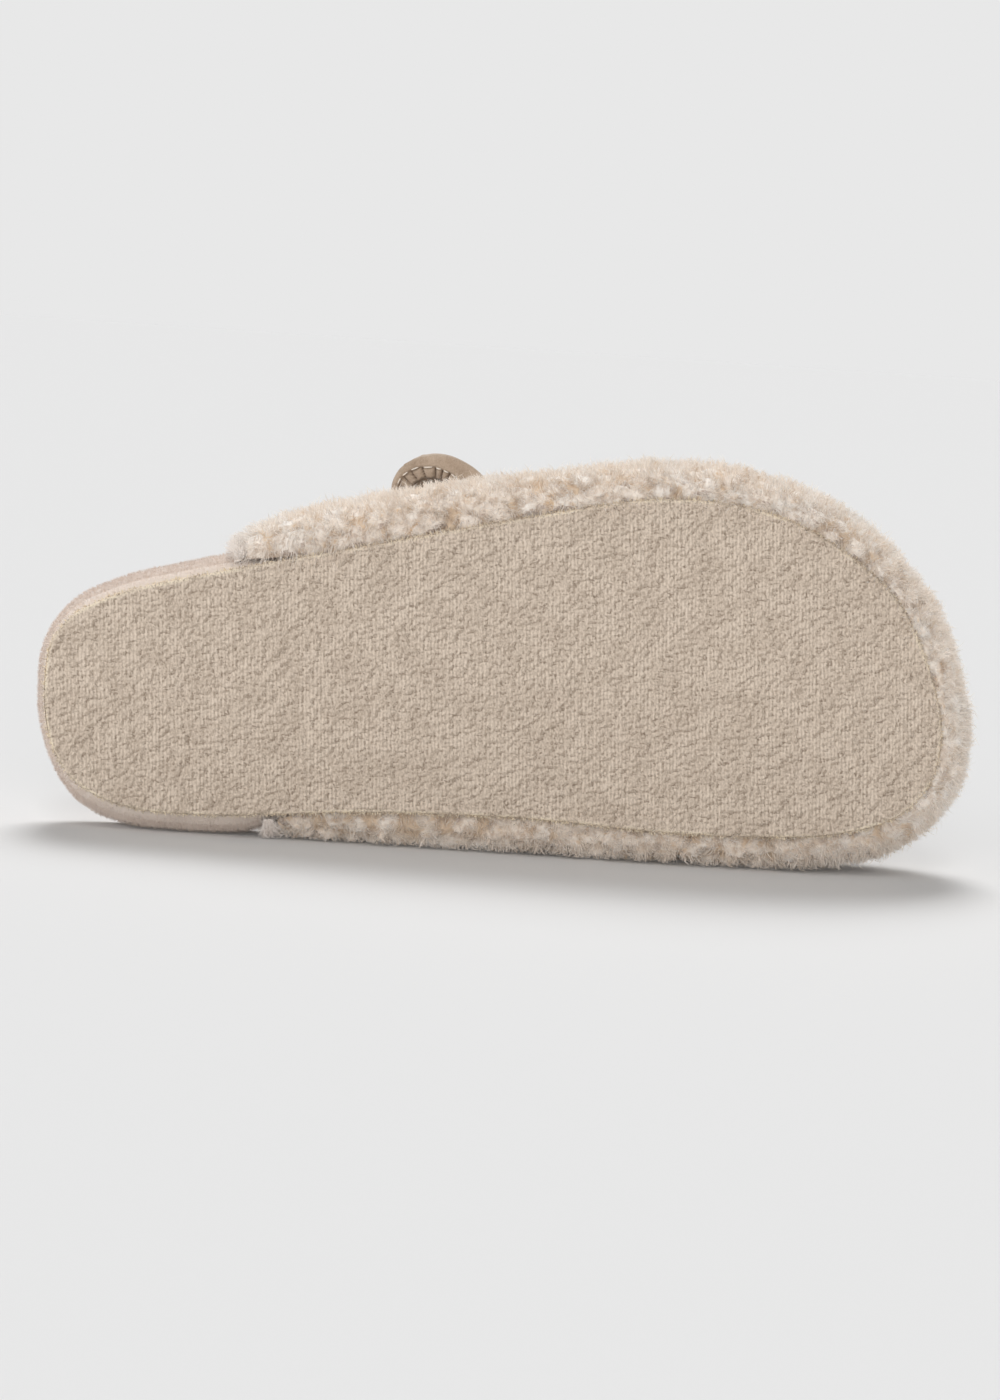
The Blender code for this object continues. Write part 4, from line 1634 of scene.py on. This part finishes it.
@dataclass
class CollarEdge:
    """The smooth rolled edge of the upper's rear opening, with a soft fuzz."""

    shop: Workshop
    finish: bpy.types.Material
    pucker_size: float = 0.004
    pucker_shift: float = 6.0
    pucker_depth: float = 0.00045
    fuzz_seed: int = 31
    fuzz_count: int = 20000
    fuzz: Pile = Pile(height=0.0025, width=0.00015, lean=0.9)
    floor_clear: float = 0.0002

    def build(self) -> None:
        """Makes the roll and its fuzz."""
        mesh = self.shop.dense("collar_binding", 2)
        places, ways = places_of(mesh), normals_of(mesh)
        pucker = ripple(places, self.pucker_size, self.pucker_shift) * self.pucker_depth
        places = places + ways * pucker[:, None]
        places[:, 2] = np.maximum(places[:, 2], self.floor_clear)
        move_points(mesh, places)
        self.shop.piece("collar_roll", mesh, [self.finish], Slot.EDGE, ("collar_binding",))
        wanted, name = np.ones(len(corners_of(mesh))), "collar_roll_fuzz"
        nap, _ = self.fuzz.nap(name, mesh, wanted, self.fuzz_count, self.floor_clear, self.fuzz_seed)
        self.shop.piece(name, nap, [self.finish], Slot.EDGE)


@dataclass
class InstepStrap:
    """The suede strap: a rolled rim with a row of stitches, gathered in pleats under its free end."""

    shop: Workshop
    suede: bpy.types.Material
    thread: bpy.types.Material
    axis_height: float = 0.020
    slices: int = 40
    end_slices: int = 3
    line_degree: int = 5
    line_points: int = 400
    spare_points: int = 30
    spare_start: float = 0.001
    spare_length: float = 0.045
    width_run: Span = (0.020, 0.014)
    centre_run: Span = (0.06, 0.02)
    settle_rounds: int = 3
    tip_slices: int = 60
    face_turn: Span = (0.1, 0.5)
    rim_width: float = 0.0034
    groove_width: float = 0.0009
    groove_depth: float = 0.0005
    groove_shade: float = 0.35
    roll_height: float = 0.0008
    top_roll: float = 0.4
    free_length: float = 0.034
    free_full: float = 0.76
    fine_length: float = 0.018
    tip_radius: float = 0.0153
    tip_push: float = 0.7
    sway_tip: float = -0.0016
    sway_base: float = -0.0028
    sway_end: float = 0.045
    sway_turn: float = 0.4
    gather_middle: float = 0.0142
    gather_reach: float = 0.01136
    gather_half: float = 0.0108
    gather_side: float = 0.0023
    pleat_gaps_deg: tuple[float, ...] = (
        -74.0, -62.0, -50.5, -39.5, -29.0, -9.0,
        11.0, 27.0, 44.0, 60.0, 76.0,
    )
    gap_width: float = 0.00026
    pleat_round: float = 0.0006
    pleat_foot: Span = (0.71, 0.77)
    pleat_top: Span = (0.97, 1.01)
    pleat_height: float = 0.0006
    hollow_ring: Span = (0.67, 0.75)
    hollow_depth: float = 0.0010
    hollow_shade: float = 0.75
    seam_ring: float = 1.005
    seam_width: float = 0.03
    seam_depth: float = 0.5
    seam_shade: float = 0.6
    seam_rest: float = 0.4
    seam_gap: float = 0.6
    rim_ring: Span = (1.0, 1.10)
    pucker_size: float = 0.006
    pucker_shift: float = 4.0
    pucker_depth: float = 0.00012
    stitch_pitch: float = 0.0034
    stitch_length: float = 0.0024
    stitch_share: float = 0.62
    stitch_ring: float = 1.045
    stitch_thick: float = 0.00045
    stitch_sides: int = 6
    stitch_shares: tuple[float, ...] = (-1.0, -0.8, -0.4, 0.0, 0.4, 0.8, 1.0)
    proud_above: float = 0.1
    proud_below: float = 0.8
    stitch_dip: float = 0.6
    stitch_taper: float = 0.45
    cast_height: float = 0.008
    cast_reach: float = 0.02
    half: float = field(init=False)
    line: Array = field(init=False)
    reach: Array = field(init=False)
    ahead: Array = field(init=False)
    across: Array = field(init=False)
    out: Array = field(init=False)
    start: float = field(init=False)
    end: float = field(init=False)
    tip_angles: Array = field(init=False)
    tip_reaches: list[float] = field(init=False)

    def follow(self, spots: Array) -> None:
        """Fits the strap's middle line to its points.

        Args:
            spots: the strap's points in the slipper's axes.
        """
        angle = np.arctan2(spots[:, 1], spots[:, 2] - self.axis_height)
        edges = np.linspace(angle.max(), angle.min(), self.slices + 1)
        turns, middles = [], []
        for high, low in zip(edges[:-1], edges[1:]):
            held = spots[(angle <= high) & (angle >= low)]
            if len(held):
                turns.append((high + low) / 2)
                middles.append((held.min(axis=0) + held.max(axis=0)) / 2)
        kept = slice(self.end_slices, -self.end_slices)
        turns, middles = turns[kept], np.array(middles[kept])
        fits = [np.polyfit(turns, middles[:, axis], self.line_degree) for axis in range(3)]
        fine = np.linspace(turns[0], turns[-1], self.line_points)
        line = np.stack([np.polyval(fit, fine) for fit in fits], axis=1)
        span = self.spare_points
        spare = np.linspace(self.spare_start, self.spare_length, span)[:, None]
        before, after = unit(line[0] - line[span]), unit(line[-1] - line[-1 - span])
        self.lay(np.concatenate([line[0] + before * spare[::-1], line, line[-1] + after * spare]))
        run, side = self.flatten(spots)
        end = run.max()
        far, near = self.width_run
        held = side[(run > end - far) & (run < end - near)]
        self.half = (held.max() - held.min()) / 2
        far, near = self.centre_run
        shift = (held.max() + held.min()) / 2 * ease(end - far, end - near, self.reach)
        self.lay(self.line + self.across * shift[:, None])

    def lay(self, line: Array) -> None:
        """Keeps a middle line with its lengths and its directions.

        Args:
            line: points from the strap's fixed end to past its free end, in the slipper's axes.
        """
        self.line = line
        steps = np.linalg.norm(np.diff(line, axis=0), axis=1)
        self.reach = np.concatenate([[0.0], np.cumsum(steps)])
        self.ahead = unit(np.gradient(line, axis=0))
        up = (line - np.array([0.0, 0.0, self.axis_height])) * np.array([0.0, 1.0, 1.0])
        self.across = unit(np.cross(self.ahead, unit(up)))
        self.out = unit(np.cross(self.across, self.ahead))

    def at(self, run: Array, source: Array) -> Array:
        """Reads the middle line, or one of its directions, at lengths along it."""
        return np.stack([np.interp(run, self.reach, source[:, axis]) for axis in range(3)], axis=1)

    def flatten(self, spots: Array) -> tuple[Array, Array]:
        """How far along and across the strap its points lie.

        Args:
            spots: points in the slipper's axes.

        Returns:
            Lengths along the middle line and across it.
        """
        run = self.reach[nearest(spots, self.line)]
        for _ in range(self.settle_rounds):
            run = run + np.sum((spots - self.at(run, self.line)) * unit(self.at(run, self.ahead)), axis=1)
        return run, np.sum((spots - self.at(run, self.line)) * unit(self.at(run, self.across)), axis=1)

    def measure_tip(self, run: Array, side: Array) -> None:
        """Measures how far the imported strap's rounded end reaches at each angle round its middle.

        Args:
            run: lengths along the strap of its points.
            side: lengths across it.
        """
        self.start, self.end = run.min(), run.max()
        ahead = np.maximum(run - (self.end - self.half), 0.0)
        angle, radius = np.arctan2(side, ahead), np.hypot(ahead, side)
        edges = np.linspace(-pi / 2, pi / 2, self.tip_slices + 1)
        reaches = [radius[(angle >= low) & (angle <= high)].max() for low, high in zip(edges, edges[1:])]
        self.tip_angles, self.tip_reaches = (edges[1:] + edges[:-1]) / 2, reaches

    def sway(self, run: Array, side: Array) -> tuple[Array, Array]:
        """How far points shift, so that the free end is fuller and rounder and leans to the toe.

        Args:
            run: lengths along the strap.
            side: lengths across it.

        Returns:
            Shifts along it and across it.
        """
        from_tip, turn = self.end - run, self.sway_turn * self.sway_end
        ahead = np.maximum(self.half - from_tip, 0.0)
        reaches = np.interp(np.arctan2(side, ahead), self.tip_angles, self.tip_reaches)
        grow = self.tip_radius / reaches - 1.0
        free = 1.0 - ease(turn, self.sway_end, from_tip)
        lean = self.sway_tip + (self.sway_base - self.sway_tip) * ease(0.0, turn, from_tip)
        return ahead * grow * self.tip_push, (lean + side * grow) * free

    def rim_depth(self, run: Array, side: Array) -> Array:
        """How far points lie inside the strap's rim.

        Args:
            run: lengths along the strap.
            side: lengths across it.

        Returns:
            The distances.
        """
        past_end = np.maximum(run - (self.end - self.half), 0.0)
        past_start = np.maximum(self.start + self.half - run, 0.0)
        return self.half - np.hypot(np.maximum(past_end, past_start), side)

    def gather(self, run: Array, side: Array) -> tuple[Array, Array]:
        """Places on the gathered underside of the free end, round the middle that its pleats run to.

        Args:
            run: lengths along the strap.
            side: lengths across it.

        Returns:
            How far out points lie, 1 on the row of stitches, and at what angle.
        """
        ahead = np.maximum(run - (self.end - self.gather_middle), 0.0) / self.gather_reach
        aside = (side - self.gather_side) / self.gather_half
        return np.hypot(ahead, aside), np.arctan2(aside, ahead)

    def fine_mesh(self) -> bpy.types.Mesh:
        """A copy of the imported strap, divided further under its free end.

        Returns:
            The new mesh, in the frame.
        """
        mesh = self.shop.dense("strap", 3)
        axes = self.shop.axes
        spots = axes.to_shoe(places_of(mesh))
        self.follow(spots)
        run, side = self.flatten(spots)
        self.measure_tip(run, side)
        turned = np.sum(axes.way_to_shoe(normals_of(mesh)) * self.at(run, self.out), axis=1)
        under = (run > self.end - self.fine_length) & (turned < 0.0)
        work = bmesh.new()
        work.from_mesh(mesh)
        edges = [edge for edge in work.edges if all(under[vertex.index] for vertex in edge.verts)]
        split_edges(mesh, work, edges, 2)
        return mesh

    def build(self) -> None:
        """Makes the strap, its folds and its stitches."""
        mesh = self.fine_mesh()
        axes = self.shop.axes
        places, ways = places_of(mesh), normals_of(mesh)
        spots, facing = axes.to_shoe(places), axes.way_to_shoe(ways)
        run, side = self.flatten(spots)
        turned = np.sum(facing * self.at(run, self.out), axis=1)
        lift_above, shade_above = self.top_relief(run, side)
        lift_below, shade_below = self.pleat_relief(run, side)
        above, below = ease(*self.face_turn, turned), ease(*self.face_turn, -turned)
        pucker = ripple(places, self.pucker_size, self.pucker_shift) * self.pucker_depth
        lift = above * lift_above + below * lift_below + pucker
        along, aside = self.sway(run, side)
        sway = self.at(run, self.ahead) * along[:, None] + self.at(run, self.across) * aside[:, None]
        move_points(mesh, places + ways * lift[:, None] + axes.way_to_world(sway))
        # The "fold" number is painted shade: dark in the rim's groove, the pleats' gaps, the hollow and
        # along the seam.
        hold(mesh, "fold", np.clip(above * shade_above + below * shade_below, 0.0, 1.0))
        self.shop.piece("suede_strap", mesh, [self.suede], Slot.SUEDE, ("strap",))
        self.sew(mesh)

    def top_relief(self, run: Array, side: Array) -> tuple[Array, Array]:
        """The rolled rim on the strap's upper side.

        Args:
            run: lengths along the strap.
            side: lengths across it.

        Returns:
            How far points stand out, and how much painted shade their groove gets, 0 to 1.
        """
        depth = self.rim_depth(run, side)
        groove = np.exp(-(((depth - self.rim_width) / (self.groove_width / 2)) ** 2))
        roll = np.sin(np.clip(depth / self.rim_width, 0, 1) * pi)
        lift = self.roll_height * self.top_roll * roll - self.groove_depth * groove
        return lift, self.groove_shade * groove

    def pleat_relief(self, run: Array, side: Array) -> tuple[Array, Array]:
        """The broad rim, the pleats and the hollow under the strap's free end.

        Args:
            run: lengths along the strap.
            side: lengths across it.

        Returns:
            How far points stand out, and how much painted shade falls in their pleats' gaps, hollow and
            seam, 0 to 1.
        """
        out, angle = self.gather(run, side)
        free = ease(self.end - self.free_length, self.end - self.free_full * self.free_length, run)
        turn = np.abs(angle[:, None] - np.radians(self.pleat_gaps_deg)[None]).min(axis=1)
        apart = turn * out * self.gather_reach
        gap = np.exp(-((apart / self.gap_width) ** 2))
        puff = 1.0 - np.exp(-((apart / self.pleat_round) ** 2))
        pleat = ease(*self.pleat_foot, out) * (1 - ease(*self.pleat_top, out))
        hollow = 1 - ease(*self.hollow_ring, out)
        seam = np.exp(-(((out - self.seam_ring) / self.seam_width) ** 2))
        lift = ease(*self.rim_ring, out) * self.roll_height - seam * self.groove_depth * self.seam_depth
        lift = lift + pleat * (self.pleat_height * puff - self.groove_depth * gap)
        # Painted shade in the pleats' gaps, the hollow and along the seam.
        seam_shading = self.seam_shade * seam * (self.seam_rest + self.seam_gap * gap)
        fold = pleat * gap + self.hollow_shade * hollow + seam_shading
        return free * (lift - hollow * self.hollow_depth), free * fold

    def sew(self, mesh: bpy.types.Mesh) -> None:
        """Makes the stitches: along the rim above, and one over each pleat under the free end.

        Args:
            mesh: the strap that they lie on.
        """
        tree = BVHTree.FromPolygons(places_of(mesh).tolist(), corners_of(mesh).tolist())
        points: list[Array] = []
        faces: list[tuple[int, int, int]] = []
        straight, inner = self.end - self.start - 2 * self.half, self.half - self.rim_width
        whole = 2 * straight + tau * inner
        halves = np.array([-0.5, 0.0, 0.5])
        for number in range(int(whole / self.stitch_pitch)):
            reaches = number * self.stitch_pitch + halves * self.stitch_length
            ends = [self.row_place(reach, straight, inner) for reach in reaches]
            self.stitch(points, faces, tree, ends, False)
        for first, last in zip(self.pleat_gaps_deg, self.pleat_gaps_deg[1:]):
            turns = np.radians((first + last) / 2 + halves * self.stitch_share * (last - first))
            runs = self.end - self.gather_middle + self.gather_reach * self.stitch_ring * np.cos(turns)
            sides = self.gather_side + self.gather_half * self.stitch_ring * np.sin(turns)
            self.stitch(points, faces, tree, list(zip(runs, sides)), True)
        mesh = mesh_from("strap_stitches", np.concatenate(points), np.array(faces))
        self.shop.piece("strap_stitches", mesh, [self.thread], Slot.SUEDE)

    def row_place(self, reach: float, straight: float, inner: float) -> Span:
        """A place on the row of stitches.

        Args:
            reach: length along the row, which closes on itself.
            straight: length of each straight stretch.
            inner: the row's radius round the ends.

        Returns:
            Lengths along and across the strap.
        """
        whole = 2 * straight + tau * inner
        reach = reach % whole
        low, high = self.start + self.half, self.end - self.half
        if reach < straight:
            return low + reach, inner
        reach -= straight
        if reach < pi * inner:
            turn = reach / inner
            return high + inner * np.sin(turn), inner * np.cos(turn)
        reach -= pi * inner
        if reach < straight:
            return high - reach, -inner
        turn = (reach - straight) / inner
        return low - inner * np.sin(turn), -inner * np.cos(turn)

    def on_strap(self, tree: BVHTree, run: float, side: float, below: bool) -> Array | None:
        """The strap's surface at a place.

        Args:
            tree: the strap to cast rays at, in the frame.
            run: length along the strap.
            side: length across it.
            below: whether its underside is asked for.

        Returns:
            The place in the frame, or None where the ray misses.
        """
        runs = np.array([run])
        out = self.at(runs, self.out)[0] * (-1 if below else 1)
        along, aside = self.sway(runs, np.array([side]))
        spot = self.at(runs + along, self.line)[0] + self.at(runs, self.across)[0] * (side + aside[0])
        axes = self.shop.axes
        start = Vector(axes.to_world(spot + out * self.cast_height))
        found = tree.ray_cast(start, Vector(axes.way_to_world(-out)), self.cast_reach)[0]
        return None if found is None else np.array(found)

    def stitch(
        self,
        points: list[Array],
        faces: list[tuple[int, int, int]],
        tree: BVHTree,
        ends: list[Span],
        below: bool,
    ) -> None:
        """Adds one stitch, a short thread that dips into the suede at its ends.

        Args:
            points: the points so far.
            faces: the faces so far.
            tree: the strap to cast rays at, in the frame.
            ends: lengths along and across the strap of its first end, middle and last end.
            below: whether it lies on the underside.
        """
        found = [self.on_strap(tree, run, side, below) for run, side in ends]
        if any(spot is None for spot in found):
            return
        spots, run = np.array(found), ends[1][0]
        sides, proud = self.stitch_sides, self.proud_below if below else self.proud_above
        out = self.shop.axes.way_to_world(self.at(np.array([run]), self.out)[0]) * (-1 if below else 1)
        ahead = unit(spots[2] - spots[0])
        side = unit(np.cross(out, ahead))
        base = sum(len(block) for block in points)
        rings = []
        for share in self.stitch_shares:
            rise = self.stitch_thick * (proud - self.stitch_dip * share**4)
            middle = spots[1] + (spots[2] - spots[0]) / 2 * share + out * rise
            thick = self.stitch_thick / 2 * (1.0 - self.stitch_taper * share**6)
            turns = np.arange(sides) * tau / sides
            rings.append(middle + thick * (np.cos(turns)[:, None] * side + np.sin(turns)[:, None] * out))
        points.append(np.concatenate(rings))
        for ring in range(len(rings) - 1):
            for corner in range(sides):
                a, b = base + ring * sides + corner, base + ring * sides + (corner + 1) % sides
                faces += [(a, b, b + sides), (a, b + sides, a + sides)]
        last = base + (len(rings) - 1) * sides
        for corner in range(1, sides - 1):
            faces += [(base, base + corner + 1, base + corner), (last, last + corner, last + corner + 1)]


@dataclass(frozen=True)
class Lamp:
    """A far lamp: its strength, how wide it looks, and how it leans from straight above."""

    name: str
    strength: float
    spread_deg: float
    lean_deg: Span


@dataclass
class Studio:
    """A plain pale floor under soft light, and the camera square on the sole."""

    axes: ShoeAxes
    sole_length: float = SOLE_LENGTH
    sole_pixels: float = 900.0
    heel_pixel: float = 44.0
    axis_pixel: float = 690.0
    frame_wide: int = 1000
    frame_high: int = 1400
    tilt_deg: float = 3.0
    distance: float = 1.0
    sensor: float = 36.0
    floor_size: float = 40.0
    grey: float = 0.807
    floor_albedo: float = 0.765
    floor_glow: float = 0.018
    sky: float = 0.20
    lamps: tuple[Lamp, ...] = (
        Lamp("top_near", 0.768, 24.0, (-26.0, -3.0)),
        Lamp("top_middle", 0.748, 24.0, (-33.0, 0.0)),
        Lamp("top_far", 0.696, 24.0, (-40.0, 3.0)),
        Lamp("front_rake", 0.30, 16.0, (38.0, 0.0)),
        Lamp("front_fill", 1.20, 40.0, (72.0, -10.0)),
        Lamp("left_fill", 0.50, 30.0, (20.0, -72.0)),
    )

    def build(self) -> None:
        """Makes floor, light and camera."""
        self.build_floor()
        self.build_light()
        self.build_camera()

    def build_floor(self) -> None:
        """Makes the floor."""
        half = self.floor_size / 2
        corners = np.array([(-half, -half, 0), (half, -half, 0), (half, half, 0), (-half, half, 0)])
        mesh = mesh_from("floor", corners, np.array([[0, 1, 2, 3]]))
        paint = Painter("pale_floor")
        shader = {"Base Color": (self.floor_albedo,) * 3, "Roughness": 1.0, "Specular IOR Level": 0.0}
        shader |= {"Emission Color": (1.0, 1.0, 1.0), "Emission Strength": self.floor_glow}
        mesh.materials.append(paint.finish(shader))
        floor = bpy.data.objects.new("floor", mesh)
        bpy.context.scene.collection.objects.link(floor)

    def build_light(self) -> None:
        """Makes an even sky and the lamps."""
        scene = bpy.context.scene
        scene.view_settings.view_transform = "Standard"
        world = bpy.data.worlds.new("soft_sky")
        scene.world = world
        world.use_nodes = True
        board = Board(world.node_tree)
        shown = board.tree.nodes["Background"]
        board.feed(shown.inputs["Color"], (self.grey,) * 3)
        sky = {"Color": (1.0, 1.0, 1.0), "Strength": self.sky}
        lit = board.node("ShaderNodeBackground", {}, sky)
        seen = board.node("ShaderNodeLightPath", {}, {})
        ends = {0: seen.outputs["Is Camera Ray"], 1: lit.outputs[0], 2: shown.outputs[0]}
        both = board.node("ShaderNodeMixShader", {}, ends)
        board.feed(board.tree.nodes["World Output"].inputs["Surface"], both.outputs[0])
        for lamp in self.lamps:
            light = bpy.data.lights.new(lamp.name, "SUN")
            light.energy = lamp.strength
            light.angle = radians(lamp.spread_deg)
            held = bpy.data.objects.new(lamp.name, light)
            held.rotation_euler = (radians(lamp.lean_deg[0]), radians(lamp.lean_deg[1]), 0)
            scene.collection.objects.link(held)

    def build_camera(self) -> None:
        """Makes the camera at the photo's angle to the sole."""
        data = bpy.data.cameras.new("camera")
        data.sensor_fit = "HORIZONTAL"
        data.sensor_width = self.sensor
        pixel = self.sole_length / self.sole_pixels
        data.lens = self.sensor * self.distance / (self.frame_wide * pixel)
        tilt = radians(self.tilt_deg)
        right, look = np.array([1.0, 0.0, 0.0]), np.array([0.0, np.sin(tilt), np.cos(tilt)])
        up = np.array([0.0, -np.cos(tilt), np.sin(tilt)])
        aside, down = self.frame_wide / 2 - self.heel_pixel, self.frame_high / 2 - self.axis_pixel
        aim = np.array([aside, down, 0.0]) * pixel
        place = self.axes.to_world(aim - look * self.distance)
        turn = self.axes.way_to_world(np.stack([right, up, -look]))
        camera = bpy.data.objects.new("camera", data)
        camera.matrix_world = Matrix.Translation(place) @ Matrix(turn.T.tolist()).to_4x4()
        bpy.context.scene.collection.objects.link(camera)
        bpy.context.scene.camera = camera


def main() -> None:
    """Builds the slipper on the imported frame."""
    logging.basicConfig(level=logging.INFO, format="%(name)s: %(message)s")
    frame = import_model()
    axes = ShoeAxes()
    axes.fix(frame["record"])
    shop = Workshop(frame, axes)
    Studio(axes).build()
    KnitSole(shop, KnitFinish().material(axes)).build()
    lining = FleeceFinish("fleece_lining", tone(228, 214, 204), tone(200, 182, 168)).material(axes)
    SherpaUpper(shop, SherpaFinish().material(axes), lining).build()
    wrap = BrushedFinish("pale_brushed").material(axes)
    bed = BrushedFinish("pale_lining", tone(233, 219, 209), tone(218, 202, 190)).material(axes)
    HeelBand(shop, wrap, bed).build()
    edge = BrushedFinish("pale_edge", tone(255, 250, 245), tone(248, 238, 230)).material(axes)
    CollarEdge(shop, edge).build()
    InstepStrap(shop, SuedeFinish().material(axes), ThreadFinish().material(axes)).build()


if __name__ == "__main__":
    main()
